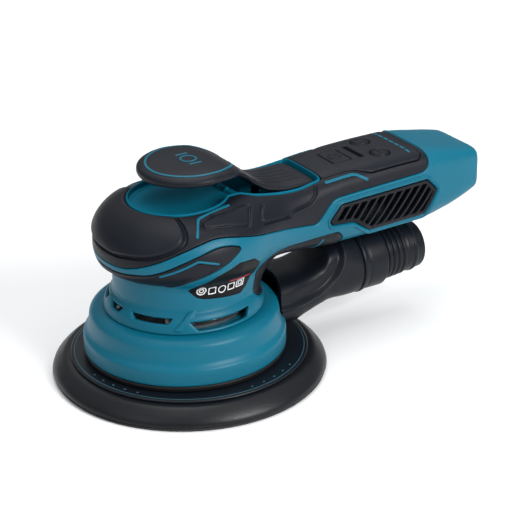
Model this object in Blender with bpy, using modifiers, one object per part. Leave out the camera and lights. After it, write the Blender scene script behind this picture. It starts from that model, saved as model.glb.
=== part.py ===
"""An electric random-orbital sander with a long handle, built as the separate pieces it is assembled from.

Sizes are in millimetres and MM turns them into the scene's metres. The origin is where the motor's
axis meets the abrasive face of the pad. +X runs to the rear of the handle and +Z runs up.
The pad's own axis stands ORBIT_OFFSET behind the motor's axis, which gives the orbit its stroke.
"""

import math

import bmesh
import bpy
from mathutils import Matrix, Vector

MM = 0.001
GAP = 0.3                      # clearance between neighbouring pieces
WALL = 2.6                     # wall of the moulded housing

# driving sizes
PAD_RADIUS = 75.0
ORBIT_OFFSET = 2.5             # half the orbit's stroke
FACE_TOP = 1.6
FOAM_TOP = 11.2
FOAM_TOP_RADIUS = 67.8
PLATE_RADIUS = 64.6
PLATE_TOP = 12.8
SHROUD_RADIUS = 55.0
SHROUD_BOTTOM = 16.6
SHROUD_TOP = 40.6
NECK_RADIUS = 38.0
HEAD_RADIUS = 47.5
SHAFT_RADIUS = 4.0
STATOR_RADIUS = 31.5
STATOR_BOTTOM = 55.0
STATOR_TOP = 77.0
DUCT_Z = 36.0                  # height of the dust outlet's axis
DUCT_END = 106.5
NOZZLE_END = 152.0
PADDLE_PIVOT = (66.0, 91.5)    # X and Z of the paddle's pin
TRAY_FRONT_FLOOR = 98.0
TRAY_REAR_FLOOR = 86.5
INLET_Z = 80.0
PLATE_HUB_TOP = 15.8           # the raised middle of the backing plate
DUST_HOLE_RADIUS = 4.6
OUTER_HOLES = (43, 8, 22.5)    # ring radius, number and first angle of the dust holes
INNER_HOLES = (28, 6, 0)
PIN_RADIUS = 1.5
BARREL_RADIUS = 3.3            # the paddle's barrels round its pin
PLUNGER_RADIUS = 2.2
PLUNGER_X = 46.0
SCREW_RADIUS = 1.5
HANDLE_SCREW_HEAD = 2.8
FAN_RADIUS = 44.8
FAN_BLADES = 8
COUNTERWEIGHT_RADIUS = 20.0
SPEED_BUTTON_X = 121.5
SPEED_BUTTON_Y = 9.6
SPEED_BUTTON_RADIUS = 5.4
SIDE_REACH = 60                # half the width of the cutters drawn in the side view
ABOVE = 130                    # a height above the whole tool

# outline of the head and handle along X: (x, value) pairs that a smooth curve runs through
HALF_WIDTH = [(10, 46.4), (22, 41.8), (36, 34.5), (52, 28.5), (70, 26), (100, 25.5), (140, 25.5), (160, 24),
              (174, 21.5), (180, 19.5)]
TOP = [(-47.5, 80), (-46, 87), (-42, 93), (-34, 99), (-20, 103.5), (0, 105.5), (20, 104.5), (40, 101),
       (60, 99), (75, 99.8), (90, 101), (120, 101.8), (147, 101.2), (165, 99), (176, 96), (180, 91.5)]
BOTTOM = [(-47.5, 76), (-46, 70), (-42, 66), (-34, 63), (-20, 60), (0, 58), (20, 57), (38, 60), (60, 59),
          (90, 57), (145, 58), (160, 61), (176, 66.5), (180, 71)]
WAIST = [(-47.5, 78), (-30, 79), (0, 80), (40, 78), (80, 79), (140, 80), (180, 81.5)]
UPPER_POWER = [(-47.5, 2.2), (0, 2.3), (40, 2.7), (80, 4.4), (140, 5), (180, 5)]
LOWER_POWER = [(-47.5, 2.2), (0, 2.3), (40, 2.4), (80, 3.2), (180, 3.6)]
STATIONS = [-47, -44, -38, -28, -14, 0, 13, 26, 40, 55, 72, 92, 118, 146, 162, 174, 180]
RING_SIDES = 22
SHROUD_SIDES = 32

# side view of the line where the black upper covers meet the blue housing: (x, z)
COVER_LINE = [(-60, 76.5), (-42, 77.5), (-32, 83), (-18, 88.5), (-4, 91.5), (12, 89.5), (30, 84), (50, 79.5),
              (66, 77), (71, 78.5), (80, 88.5), (84, 89.8), (142, 91.2), (147, 95), (147, 120), (-60, 120)]
PANEL_FRONT = 84.0             # the control panel starts here
BAND_LINE = [(-60, 72.5), (-40, 73), (-32, 77.5), (-22, 83), (-10, 87.5), (2, 88.5), (9, 86.5), (10, 85),
             (1, 80), (-10, 75.5), (-19, 71.5), (-27, 64), (-27, 50), (-60, 50)]
GRIP_LINE = [(46, 47), (52, 60), (62, 67.5), (84, 68), (88, 64), (88, 50), (46, 40)]
GRILLE = [(85, 84), (143, 86), (150, 78), (142, 65), (106, 64), (94.5, 72), (79.5, 73.5), (78.5, 77)]

# the dust duct's sections: (x, half width, top z, bottom z)
DUCT = [(46, 24, 45.5, 17), (58, 23, 45.5, 17), (68, 21, 45.5, 19), (78, 19.5, 47.5, 21),
        (85, 18.5, 54, 21.5), (96, 18, 55.5, 19.6), (DUCT_END, 18, 54, 18)]

# the neck's levels: (z, how far it reaches behind the motor's axis, how full its sides are there)
NECK_LEVELS = [(41.2, 38.2, 1.0), (47, 43.6, 0.89), (54, 48, 0.82), (63, 59, 0.76), (71, 66, 0.66)]

# the paddle's sections: (x, half width, top z, bottom z)
PADDLE = [(-22, 4, 117.5, 115), (-20.5, 10, 118.8, 114), (-16, 17, 119.8, 113.3), (-8, 24, 120.6, 113),
          (5.4, 27.5, 121, 113), (16, 25.5, 120.2, 113), (24, 20.5, 117.8, 111.5), (31, 16, 113, 107.5),
          (38, 14, 107, 101.5), (46, 15.5, 101.8, 96.8), (58, 16.6, 99.4, 95.2), (70, 16.4, 99.2, 95.4),
          (73.6, 15.6, 98.8, 96)]

COLOURS = {
    "teal_plastic": ((0.013, 0.14, 0.21), 0.42, 0.0),
    "black_grip": ((0.018, 0.020, 0.024), 0.62, 0.0),
    "black_plastic": ((0.012, 0.013, 0.016), 0.38, 0.0),
    "panel_plastic": ((0.014, 0.015, 0.018), 0.48, 0.0),
    "label_black": ((0.01, 0.01, 0.012), 0.35, 0.0),
    "pad_foam": ((0.02, 0.02, 0.022), 0.75, 0.0),
    "pad_plate": ((0.012, 0.014, 0.018), 0.4, 0.0),
    "loop_fabric": ((0.03, 0.03, 0.033), 0.95, 0.0),
    "seal_rubber": ((0.012, 0.012, 0.013), 0.6, 0.0),
    "steel": ((0.56, 0.57, 0.58), 0.28, 1.0),
    "bearing_steel": ((0.62, 0.63, 0.64), 0.2, 1.0),
    "cast_aluminium": ((0.48, 0.49, 0.5), 0.42, 1.0),
    "laminated_steel": ((0.25, 0.26, 0.28), 0.5, 1.0),
    "copper": ((0.72, 0.3, 0.12), 0.35, 1.0),
    "magnet": ((0.12, 0.12, 0.13), 0.35, 1.0),
    "circuit_board": ((0.01, 0.09, 0.04), 0.5, 0.0),
    "capacitor_sleeve": ((0.01, 0.02, 0.06), 0.4, 0.0),
    "fan_plastic": ((0.5, 0.51, 0.52), 0.45, 0.0),
    "screw_steel": ((0.1, 0.1, 0.11), 0.35, 1.0),
    "light_lens": ((0.012, 0.014, 0.018), 0.2, 0.0),
}


def clear_scene():
    for thing in list(bpy.data.objects):
        bpy.data.objects.remove(thing)


def new_collection(name):
    collection = bpy.data.collections.new(name)
    bpy.context.scene.collection.children.link(collection)
    return collection


def material(name):
    found = bpy.data.materials.get(name)
    if found:
        return found
    colour, roughness, metallic = COLOURS[name]
    made = bpy.data.materials.new(name)
    made.use_nodes = True
    shader = made.node_tree.nodes["Principled BSDF"]
    shader.inputs["Base Color"].default_value = (*colour, 1)
    shader.inputs["Roughness"].default_value = roughness
    shader.inputs["Metallic"].default_value = metallic
    return made


def smooth_curve(points):
    """The value at x of a curve through the points that never overshoots them."""
    xs = [p[0] for p in points]
    ys = [p[1] for p in points]
    slopes = [(ys[i + 1] - ys[i]) / (xs[i + 1] - xs[i]) for i in range(len(xs) - 1)]
    tangents = [slopes[0]]
    for before, after in zip(slopes, slopes[1:]):
        tangents.append(2 * before * after / (before + after) if before * after > 0 else 0.0)
    tangents.append(slopes[-1])

    def value(x):
        x = min(max(x, xs[0]), xs[-1])
        i = max(k for k in range(len(xs) - 1) if xs[k] <= x)
        h = xs[i + 1] - xs[i]
        t = (x - xs[i]) / h
        return (ys[i] * (1 + 2 * t) * (1 - t) ** 2 + ys[i + 1] * t * t * (3 - 2 * t)
                + h * (tangents[i] * t * (1 - t) ** 2 - tangents[i + 1] * t * t * (1 - t)))
    return value


body_width = smooth_curve(HALF_WIDTH)
body_top = smooth_curve(TOP)
body_bottom = smooth_curve(BOTTOM)
body_waist = smooth_curve(WAIST)
upper_power = smooth_curve(UPPER_POWER)
lower_power = smooth_curve(LOWER_POWER)


def half_width(x):
    """The head is round about the motor's axis, and the handle follows its own curve."""
    if x < HALF_WIDTH[0][0]:
        return math.sqrt(max(HEAD_RADIUS ** 2 - x * x, 1.0))
    return body_width(x)


def rounded_ring(x, width, top, waist, bottom, power_up, power_down, sides):
    """One section across X: a superellipse whose upper and lower halves differ."""
    ring = []
    for k in range(sides):
        a = 2 * math.pi * (k + 0.5) / sides
        c = math.cos(a)
        s = math.sin(a)
        power = power_up if s >= 0 else power_down
        y = width * math.copysign(abs(c) ** (2 / power), c)
        reach = top - waist if s >= 0 else waist - bottom
        z = waist + reach * math.copysign(abs(s) ** (2 / power), s)
        ring.append(Vector((x, y, z)) * MM)
    return ring


def body_ring(x, inset):
    return rounded_ring(x, max(half_width(x) - inset, 1), body_top(x) - inset, body_waist(x),
                        body_bottom(x) + inset, upper_power(x), lower_power(x), RING_SIDES)


def add_object(name, mesh, slot, collection):
    made = bpy.data.objects.new(name, mesh)
    collection.objects.link(made)
    if slot:
        mesh.materials.append(material(slot))
    else:
        made.hide_render = True
        made.display_type = "WIRE"
    return made


def piece(name, mesh, slot, smooth=True):
    """A finished part when it has a material slot, or else a cutter."""
    made = add_object(name, mesh, slot, PARTS if slot else CUTTERS)
    if smooth:
        mesh.shade_smooth()
        mesh.set_sharp_from_angle(angle=math.radians(35))
    return made


def loft(name, rings, slot=None):
    """A closed solid through rings that all have the same number of points."""
    mesh = bpy.data.meshes.new(name)
    work = bmesh.new()
    grid = [[work.verts.new(p) for p in ring] for ring in rings]
    count = len(grid[0])
    for near, far in zip(grid, grid[1:]):
        for k in range(count):
            work.faces.new((near[k], near[(k + 1) % count], far[(k + 1) % count], far[k]))
    work.faces.new(list(reversed(grid[0])))
    work.faces.new(grid[-1])
    bmesh.ops.recalc_face_normals(work, faces=work.faces)
    work.to_mesh(mesh)
    work.free()
    return piece(name, mesh, slot)


def turned(name, profile, slot=None, sides=32, centre=(0, 0), along="Z", twist=0.0):
    """Turns (radius, height) points about an axis. They run down the outer side, from top to bottom.

    A profile that starts and ends on the axis makes a solid piece, and any other closes into a ring.
    A twist turns the corners of the piece clear of its neighbours' corners.
    """
    mesh = bpy.data.meshes.new(name)
    solid = profile[0][0] == 0 and profile[-1][0] == 0
    edges = [(k, k + 1) for k in range(len(profile) - 1)]
    if not solid:
        edges.append((len(profile) - 1, 0))
    mesh.from_pydata([(r * MM, 0, h * MM) for r, h in profile], edges, [])
    made = piece(name, mesh, slot, smooth=False)
    screw = made.modifiers.new("Turn", "SCREW")
    screw.steps = sides
    screw.render_steps = sides
    screw.use_merge_vertices = True
    screw.merge_threshold = 0.00002
    screw.use_smooth_shade = True
    if along == "X":
        made.rotation_euler = (0, math.pi / 2, 0)
        made.location = (0, centre[0] * MM, centre[1] * MM)
    else:
        made.location = (centre[0] * MM, centre[1] * MM, 0)
        made.rotation_euler = (0, 0, math.radians(twist))
    return made


def ring_of(name, inner, outer, low, high, slot=None, sides=24, centre=(0, 0), along="Z"):
    section = [(outer, high), (outer, low), (inner, low), (inner, high)]
    return turned(name, section, slot, sides, centre, along)


def disc_of(name, radius, low, high, slot=None, sides=24, centre=(0, 0), along="Z", twist=0.0):
    section = [(0, high), (radius, high), (radius, low), (0, low)]
    return turned(name, section, slot, sides, centre, along, twist)


def side_plate(name, outline, slot=None):
    """A side-view outline that reaches right through the tool."""
    return plate(name, outline, -SIDE_REACH, SIDE_REACH, slot, plane="XZ")


def plate(name, outline, low, high, slot=None, plane="XY", bevel=0.0):
    """A flat outline given thickness from low to high along the axis that the plane leaves out."""
    curve = bpy.data.curves.new(name, "CURVE")
    curve.dimensions = "2D"
    curve.fill_mode = "BOTH"
    curve.extrude = (high - low) / 2 * MM
    spline = curve.splines.new("POLY")
    spline.points.add(len(outline) - 1)
    for point, (a, b) in zip(spline.points, outline):
        point.co = (a * MM, b * MM, 0, 1)
    spline.use_cyclic_u = True
    drawn = bpy.data.objects.new(name + "_outline", curve)
    bpy.context.scene.collection.objects.link(drawn)
    middle = (high + low) / 2 * MM
    if plane == "XY":
        drawn.matrix_world = Matrix.Translation((0, 0, middle))
    elif plane == "XZ":
        drawn.matrix_world = Matrix.Translation((0, middle, 0)) @ Matrix.Rotation(math.pi / 2, 4, "X")
    bpy.context.view_layer.update()
    mesh = bpy.data.meshes.new_from_object(drawn.evaluated_get(bpy.context.evaluated_depsgraph_get()))
    mesh.transform(drawn.matrix_world)
    mesh.materials.clear()
    bpy.data.objects.remove(drawn)
    work = bmesh.new()
    work.from_mesh(mesh)
    bmesh.ops.remove_doubles(work, verts=work.verts, dist=0.000001)
    bmesh.ops.recalc_face_normals(work, faces=work.faces)
    work.to_mesh(mesh)
    work.free()
    mesh.name = name
    made = piece(name, mesh, slot, smooth=False)
    if bevel:
        rounding = made.modifiers.new("Edges", "BEVEL")
        rounding.width = bevel * MM
        rounding.segments = 1
        rounding.limit_method = "ANGLE"
    return made


def box(name, low, high, slot=None, bevel=0.0):
    mesh = bpy.data.meshes.new(name)
    work = bmesh.new()
    bmesh.ops.create_cube(work, size=1.0)
    size = [(h - l) * MM for l, h in zip(low, high)]
    middle = [(h + l) / 2 * MM for l, h in zip(low, high)]
    bmesh.ops.scale(work, vec=size, verts=work.verts)
    bmesh.ops.translate(work, vec=middle, verts=work.verts)
    work.to_mesh(mesh)
    work.free()
    made = piece(name, mesh, slot, smooth=False)
    if bevel:
        rounding = made.modifiers.new("Edges", "BEVEL")
        rounding.width = bevel * MM
        rounding.segments = 1
    return made


def boolean(target, other, operation):
    step = target.modifiers.new(other.name, "BOOLEAN")
    step.operation = operation
    step.solver = "EXACT"
    step.object = other
    return target


def cut(target, *others):
    for other in others:
        boolean(target, other, "DIFFERENCE")
    return target


def keep(target, *others):
    for other in others:
        boolean(target, other, "INTERSECT")
    return target


def join(target, *others):
    for other in others:
        boolean(target, other, "UNION")
    return target


def joined_cutter(name, pieces):
    """Several separate cutters as one, for a row of holes."""
    work = bmesh.new()
    graph = bpy.context.evaluated_depsgraph_get()
    for one in pieces:
        mesh = bpy.data.meshes.new_from_object(one.evaluated_get(graph))
        mesh.transform(one.matrix_world)
        work.from_mesh(mesh)
        bpy.data.objects.remove(one)
    whole = bpy.data.meshes.new(name)
    work.to_mesh(whole)
    work.free()
    return piece(name, whole, None, smooth=False)


def grown(outline, distance):
    """The outline moved outwards by a distance, or inwards by a negative one."""
    area = sum(a[0] * b[1] - b[0] * a[1] for a, b in zip(outline, outline[1:] + outline[:1]))
    side = 1 if area > 0 else -1
    moved = []
    count = len(outline)
    for k in range(count):
        here = Vector(outline[k])
        before = (here - Vector(outline[k - 1])).normalized()
        after = (Vector(outline[(k + 1) % count]) - here).normalized()
        out_before = Vector((before.y, -before.x)) * side
        out_after = Vector((after.y, -after.x)) * side
        middle = (out_before + out_after).normalized()
        reach = distance / max(middle.dot(out_before), 0.35)
        moved.append(tuple(here + middle * reach))
    return moved


def arc(centre, radius, start, end, steps):
    """Points on an arc, from one angle in degrees to another."""
    points = []
    for k in range(steps + 1):
        a = math.radians(start + (end - start) * k / steps)
        points.append((centre[0] + radius * math.cos(a), centre[1] + radius * math.sin(a)))
    return points


def on_circle(radius, count, first=0.0, centre=(0, 0)):
    points = []
    for k in range(count):
        a = math.radians(first) + 2 * math.pi * k / count
        points.append((centre[0] + radius * math.cos(a), centre[1] + radius * math.sin(a)))
    return points


# ---------------------------------------------------------------- shared envelopes

def shroud_profile(offset):
    """The shroud's outer side from its top to its lower edge, as (radius, height)."""
    r = SHROUD_RADIUS
    return [(43.4 + offset, SHROUD_TOP), (47.5 + offset, 39.6), (50.6 + offset, 37), (53.2 + offset, 32),
            (r + offset, 25.4), (r + offset, SHROUD_BOTTOM)]


def neck_ring(z, rear, width, inset):
    """A level section of the neck: round in front, drawn out behind where it carries the handle."""
    ring = []
    for k in range(RING_SIDES):
        a = 2 * math.pi * (k + 0.5) / RING_SIDES
        c = math.cos(a)
        reach = NECK_RADIUS if c < 0 else rear
        taper = 1 - (1 - width) * max(c, 0) ** 2
        ring.append(Vector(((reach - inset) * c, (NECK_RADIUS - inset) * math.sin(a) * taper, z)) * MM)
    return ring


def neck_rings(levels, inset):
    return [neck_ring(z, rear, width, inset) for z, rear, width in levels]


def duct_ring(x, width, top, bottom, inset):
    roundness = 2.0 + 1.4 * min(1.0, max(0.0, (DUCT_END - x) / 20))
    waist = (top + bottom) / 2
    return rounded_ring(x, width - inset, top - inset, waist, bottom + inset, roundness, roundness, 18)


def tray_outline():
    """Top view of the recess under the paddle: a round dish, and a pocket behind it for the saddle."""
    dish = arc((-1.5, 0), 27.5, 44, 316, 15)
    return dish + [(26, -17.5), (34, -19.2), (62, -19.8), (76, -18.6), (77.2, -16),
                   (77.2, 16), (76, 18.6), (62, 19.8), (34, 19.2), (26, 17.5)]


# ---------------------------------------------------------------- the pad

def pad_holes(name, low, high):
    """Dust holes: an outer ring and an inner ring about the pad's own axis."""
    centre = (ORBIT_OFFSET, 0)
    spots = on_circle(*OUTER_HOLES, centre) + on_circle(*INNER_HOLES, centre)
    drills = []
    for k, spot in enumerate(spots):
        drills.append(disc_of(f"{name}_{k}", DUST_HOLE_RADIUS, low, high, sides=6, centre=spot))
    bpy.context.view_layer.update()
    return joined_cutter(name, drills)


def build_pad():
    centre = (ORBIT_OFFSET, 0)
    holes = pad_holes("pad_hole_drills", -2, 16)
    face = disc_of("loop_face", PAD_RADIUS - 0.6, 0, FACE_TOP, "loop_fabric", 34, centre)
    foam = turned("pad_foam", [(0, FOAM_TOP), (FOAM_TOP_RADIUS, FOAM_TOP), (73.4, 5.6),
                               (PAD_RADIUS, 2.8), (PAD_RADIUS - 0.4, FACE_TOP + GAP), (0, FACE_TOP + GAP)],
                  "pad_foam", 34, centre)
    low = FOAM_TOP + GAP
    section = [(0, PLATE_HUB_TOP), (19, PLATE_HUB_TOP), (21.5, PLATE_TOP), (PLATE_RADIUS, PLATE_TOP),
               (PLATE_RADIUS, low), (0, low)]
    backing = turned("backing_plate", section, "pad_plate", 34, centre)
    for one in (face, foam, backing):
        cut(one, holes)
    collar = plate("stud_collar", on_circle(8.0, 6, 30, centre), PLATE_HUB_TOP + GAP, 20)
    stud = disc_of("pad_stud", 3.9, PLATE_HUB_TOP + GAP, 33, "steel", 16, centre)
    join(stud, collar)
    turned("pad_spindle", [(9, 22), (9, 20 + GAP), (4.2, 20 + GAP), (4.2, 35.8), (6, 35.8), (6, 22)],
           "steel", 24, centre)
    ring_of("pad_bearing_inner", 6 + GAP, 8.6, 22 + GAP, 34, "bearing_steel", 16, centre)


# ---------------------------------------------------------------- the rotating group

def star(blade):
    """A star-shaped outline whose every point repeats one blade's (radius, angle) corners."""
    outline = []
    for k in range(FAN_BLADES):
        for radius, angle in blade:
            a = math.radians(360.0 * k / FAN_BLADES + angle)
            outline.append((radius * math.cos(a), radius * math.sin(a)))
    return outline


def build_rotor():
    centre = (ORBIT_OFFSET, 0)
    ring_of("pad_bearing_balls", 8.9, 11.1, 24, 33, "bearing_steel", 16, centre)
    ring_of("pad_bearing_outer", 11.4, 14, 22 + GAP, 34, "bearing_steel", 16, centre)
    pocket = disc_of("bearing_pocket", 14 + GAP, 10, 36.2, sides=20, centre=centre, twist=4)
    clip_bore = disc_of("shaft_bore", SHAFT_RADIUS + GAP, 30, 45, sides=16, twist=2)
    lobe_outline = arc((0, 0), 26, 117, 243, 7) + arc((0, 0), 12, 243, 117, 3)
    lobe = plate("counterweight_lobe", lobe_outline, 23, 33.5)
    weight = disc_of("counterweight", COUNTERWEIGHT_RADIUS, 22 + GAP, 38.2, "steel", 24)
    join(weight, lobe)
    cut(weight, pocket, clip_bore)

    blades = plate("dust_fan_blades", star([(29.6, -14), (29.6, -4), (44, 8), (44, 10), (31, 0)]), 24, 34.6)
    fan = disc_of("dust_fan", FAN_RADIUS, 33.6, 35.6, "fan_plastic", 28, twist=3)
    join(fan, blades)
    cut(fan, disc_of("dust_fan_bore", 26.4, 20, 34.0),
        disc_of("dust_fan_hole", COUNTERWEIGHT_RADIUS + GAP, 30, 40))

    disc_of("motor_shaft", SHAFT_RADIUS, 36.2 + GAP, 91, "steel", 20)
    ring_of("lower_bearing_inner", SHAFT_RADIUS + GAP, 6.2, 39, 45, "bearing_steel", 16)
    ring_of("upper_bearing_inner", SHAFT_RADIUS + GAP, 5.8, 84, 90, "bearing_steel", 16)

    vanes = plate("cooling_fan_vanes", star([(16, -16), (33, -2), (33, 1), (17, 0)]), 42, 50)
    cooling = disc_of("cooling_fan", 33.6, 49.4, 51, "fan_plastic", 24, twist=3)
    join(cooling, vanes)
    cut(cooling, disc_of("cooling_fan_bore", 14.4, 40, 48.2),
        disc_of("cooling_fan_hole", SHAFT_RADIUS + GAP, 45, 55, sides=16, twist=5))

    ring_of("rotor_core", SHAFT_RADIUS + GAP, 14, STATOR_BOTTOM, STATOR_TOP, "laminated_steel", 24)
    ring_of("rotor_magnet", 14 + GAP, 17, STATOR_BOTTOM, STATOR_TOP, "magnet", 24)


# ---------------------------------------------------------------- the motor's fixed side

def build_motor():
    turned("bearing_plate", [(34.6, 41), (34.6, 38.9), (11.3, 38.9), (11.3, 45.6), (13.4, 45.6), (13.4, 41)],
           "cast_aluminium", 32)
    for name, low, outer, balls in (("lower", 39, 11, 8.8), ("upper", 84, 9.5, 7.9)):
        inner = SHAFT_RADIUS + GAP + (1.9 if name == "lower" else 1.5)
        ring_of(name + "_bearing_balls", inner + GAP, balls, low + 1, low + 5, "bearing_steel", 16)
        ring_of(name + "_bearing_outer", balls + GAP, outer, low, low + 6, "bearing_steel", 16)
    ring_of("stator_core", 17.5, STATOR_RADIUS, STATOR_BOTTOM, STATOR_TOP, "laminated_steel", 32)
    ring_of("winding_lower", 19, 30, 52, STATOR_BOTTOM - GAP, "copper", 24)
    ring_of("winding_upper", 19, 30, STATOR_TOP + GAP, 82, "copper", 24)
    ring_of("motor_sleeve", STATOR_RADIUS + GAP, 34.4, 52, 83.2, "cast_aluminium", 32)
    turned("end_bell", [(34.4, 86), (34.4, 83.5), (9.8, 83.5), (9.8, 90.6), (12, 90.6), (12, 86)],
           "cast_aluminium", 32)


# ---------------------------------------------------------------- shroud, seal and duct

def build_duct():
    outer = [duct_ring(x, w, t, b, 0) for x, w, t, b in DUCT]
    mouth = (38, 24, 40, 17)
    end = (DUCT_END + 5, *DUCT[-1][1:])
    inner = [duct_ring(x, w, t, b, WALL) for x, w, t, b in [mouth] + DUCT[1:] + [end]]
    ceiling = 44.5
    for ring in inner:
        for point in ring:
            point.z = min(point.z, ceiling * MM)
    duct = loft("dust_duct", outer, "black_plastic")
    passage = loft("duct_passage", inner)
    envelope = [(0, SHROUD_TOP)] + shroud_profile(GAP) + [(0, SHROUD_BOTTOM)]
    mate = turned("shroud_envelope", envelope, None, SHROUD_SIDES)
    cut(duct, mate, passage)
    return passage


def build_shroud(passage):
    outside = shroud_profile(0)
    inside = [(SHROUD_RADIUS - WALL, SHROUD_BOTTOM), (SHROUD_RADIUS - WALL, 25), (51.6, 32), (48.6, 35.6),
              (45.6, 37.4), (35.2, 37.9), (35.2, SHROUD_TOP)]
    shroud = turned("shroud", outside + inside, "teal_plastic", SHROUD_SIDES)
    cut(shroud, passage)
    under = SHROUD_BOTTOM - GAP
    turned("brake_seal", [(52, 21), (52, under), (54.8, under), (54.4, 13.4), (50.2, 13.4), (49.4, 21)],
           "seal_rubber", 32)
    return shroud


def shroud_screws(shroud, housing):
    drills = []
    for k, (x, y) in enumerate(on_circle(39.2, 3, 60)):
        screw = [(0, 48), (SCREW_RADIUS, 48), (SCREW_RADIUS, 37.5), (3, 37.5), (3, 35.6), (0, 35.6)]
        turned(f"shroud_screw_{k + 1}", screw, "screw_steel", 10, (x, y))
        bore = SCREW_RADIUS + GAP
        drills.append(disc_of(f"shroud_drill_{k}", bore, 34, 48.4, sides=8, centre=(x, y), twist=7))
    bpy.context.view_layer.update()
    holes = joined_cutter("shroud_screw_holes", drills)
    cut(shroud, holes)
    cut(housing, holes)


# ---------------------------------------------------------------- head, neck and handle

def build_housing():
    hollow_stations = [-44.2, -41, -36] + [x for x in STATIONS if -30 < x < 174] + [173, 177.2]
    hollow = loft("body_inside", [body_ring(x, WALL) for x in hollow_stations])
    neck = loft("neck_outside", neck_rings(NECK_LEVELS, 0))
    bore_levels = [(39, 38.2, 1.0)] + NECK_LEVELS[:4] + [(73, 67, 0.64)]
    neck_bore = loft("neck_inside", neck_rings(bore_levels, WALL - 0.1))
    foot = turned("neck_foot", [(0, 53), (36.8, 53), (41.4, 47), (43.4, SHROUD_TOP + GAP),
                                (0, SHROUD_TOP + GAP)], None, 32, twist=2)
    covers = side_plate("cover_region", COVER_LINE)
    band_region = side_plate("band_region", BAND_LINE)
    grip_region = side_plate("grip_region", GRIP_LINE)
    grilles = side_plate("grille_region", GRILLE)
    inlet = disc_of("inlet_hole", 8, 160, 190, along="X", centre=(0, INLET_Z), sides=20)

    housing = loft("main_housing", [body_ring(x, 0) for x in STATIONS], "teal_plastic")
    cut(housing, hollow, band_region)
    join(housing, neck, foot)
    cut(housing, neck_bore, covers, grip_region, grilles, inlet)

    slots = []
    half = 21
    for middle in (155, 215, 275, 35, 95):
        outside = arc((0, 0), 46, middle - half, middle + half, 3)
        inside = arc((0, 0), 33, middle + half, middle - half, 3)
        slots.append(plate(f"vent_{middle}", outside + inside, 44.6, 48.2))
    bpy.context.view_layer.update()
    cut(housing, joined_cutter("vent_slots", slots))
    return housing, hollow, neck, neck_bore


def build_covers(hollow, neck, neck_bore):
    tray = tray_outline()
    opening = plate("tray_opening", grown(tray, GAP), 60, ABOVE)
    upper = grown(COVER_LINE, -GAP)
    front_end = PANEL_FRONT - GAP
    front_region = upper[:11] + [(front_end, 89.7 + GAP), (front_end, 120), (-60, 120)]
    rear_end = 147 - GAP
    rear_region = [(PANEL_FRONT, 89.8 + GAP), (142, 91.2 + GAP), (rear_end, 95.2), (rear_end, 120),
                   (PANEL_FRONT, 120)]

    grip = loft("head_grip", [body_ring(x, 0) for x in STATIONS], "black_grip")
    cut(grip, hollow)
    keep(grip, side_plate("head_region", front_region))
    cut(grip, opening)

    panel = loft("control_panel", [body_ring(x, 0) for x in STATIONS], "panel_plastic")
    cut(panel, hollow)
    keep(panel, side_plate("panel_region", rear_region))

    under = loft("under_grip", [body_ring(x, 0) for x in STATIONS], "black_grip")
    join(under, neck)
    cut(under, hollow, neck_bore)
    keep(under, side_plate("under_region", grown(GRIP_LINE, -GAP)))

    band = loft("lower_band", [body_ring(x, 0) for x in STATIONS], "black_grip")
    cut(band, hollow)
    keep(band, side_plate("lower_region", grown(BAND_LINE, -GAP)))
    cut(band, loft("neck_clearance", neck_rings(NECK_LEVELS[:4] + [(74, 68, 0.62)], -GAP)))
    build_grilles(hollow)
    return panel


def build_grilles(hollow):
    inner = grown(GRILLE, -GAP)
    bars = []
    pitch = 8.2
    width = 3.4
    slant = 12
    for k in range(8):
        x = 82 + pitch * k
        slot = [(x, 62), (x + width, 62), (x + width + slant, 88), (x + slant, 88)]
        bars.append(side_plate(f"grille_slot_{k}", slot))
    bpy.context.view_layer.update()
    inside_frame = plate("grille_field", grown(GRILLE, -3), -SIDE_REACH - 1, SIDE_REACH + 1, plane="XZ")
    slots = keep(joined_cutter("grille_slots", bars), inside_frame)
    for side, low, high in (("left", -SIDE_REACH, -5), ("right", 5, SIDE_REACH)):
        made = loft("grille_" + side, [body_ring(x, 0) for x in STATIONS], "black_plastic")
        cut(made, hollow)
        keep(made, plate("grille_" + side + "_region", inner, low, high, plane="XZ"))
        cut(made, slots)


def build_tray():
    """The blue recess under the paddle, with the lugs that hold the paddle's pin."""
    tray = plate("paddle_tray", tray_outline(), 70, ABOVE, "teal_plastic")
    shape = loft("tray_limit", [body_ring(x, 0) for x in STATIONS])
    keep(tray, shape)
    floor = [(-60, TRAY_FRONT_FLOOR), (24, TRAY_FRONT_FLOOR), (37, TRAY_REAR_FLOOR), (100, TRAY_REAR_FLOOR)]
    under = [(x, z - 2) for x, z in floor]
    cut(tray, side_plate("tray_underside", under + [(100, 40), (-60, 40)]))
    wall = 1.6
    hollow = plate("tray_hollow", grown(tray_outline(), -wall), 70, ABOVE + 1)
    keep(hollow, side_plate("tray_above_floor", floor + [(100, ABOVE), (-60, ABOVE)]))
    cut(tray, hollow)
    x, z = PADDLE_PIVOT
    for side in (-1, 1):
        low, high = sorted((side * 12.2, side * 15.2))
        foot = TRAY_REAR_FLOOR - 1
        lug = [(x - 4, foot), (x + 4, foot), (x + 3, z + 2), (x - 3, z + 2)]
        join(tray, plate(f"pin_lug_{side + 2}", lug, low, high, plane="XZ"))
    pin_hole = plate("pin_hole", on_circle(PIN_RADIUS + GAP, 12, 0, PADDLE_PIVOT), -15.6, 15.6, plane="XZ")
    plunger_hole = plate("plunger_hole", on_circle(PLUNGER_RADIUS + GAP, 12, 0, (PLUNGER_X, 0)), 70, ABOVE)
    cut(tray, pin_hole, plunger_hole)
    return tray


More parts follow.
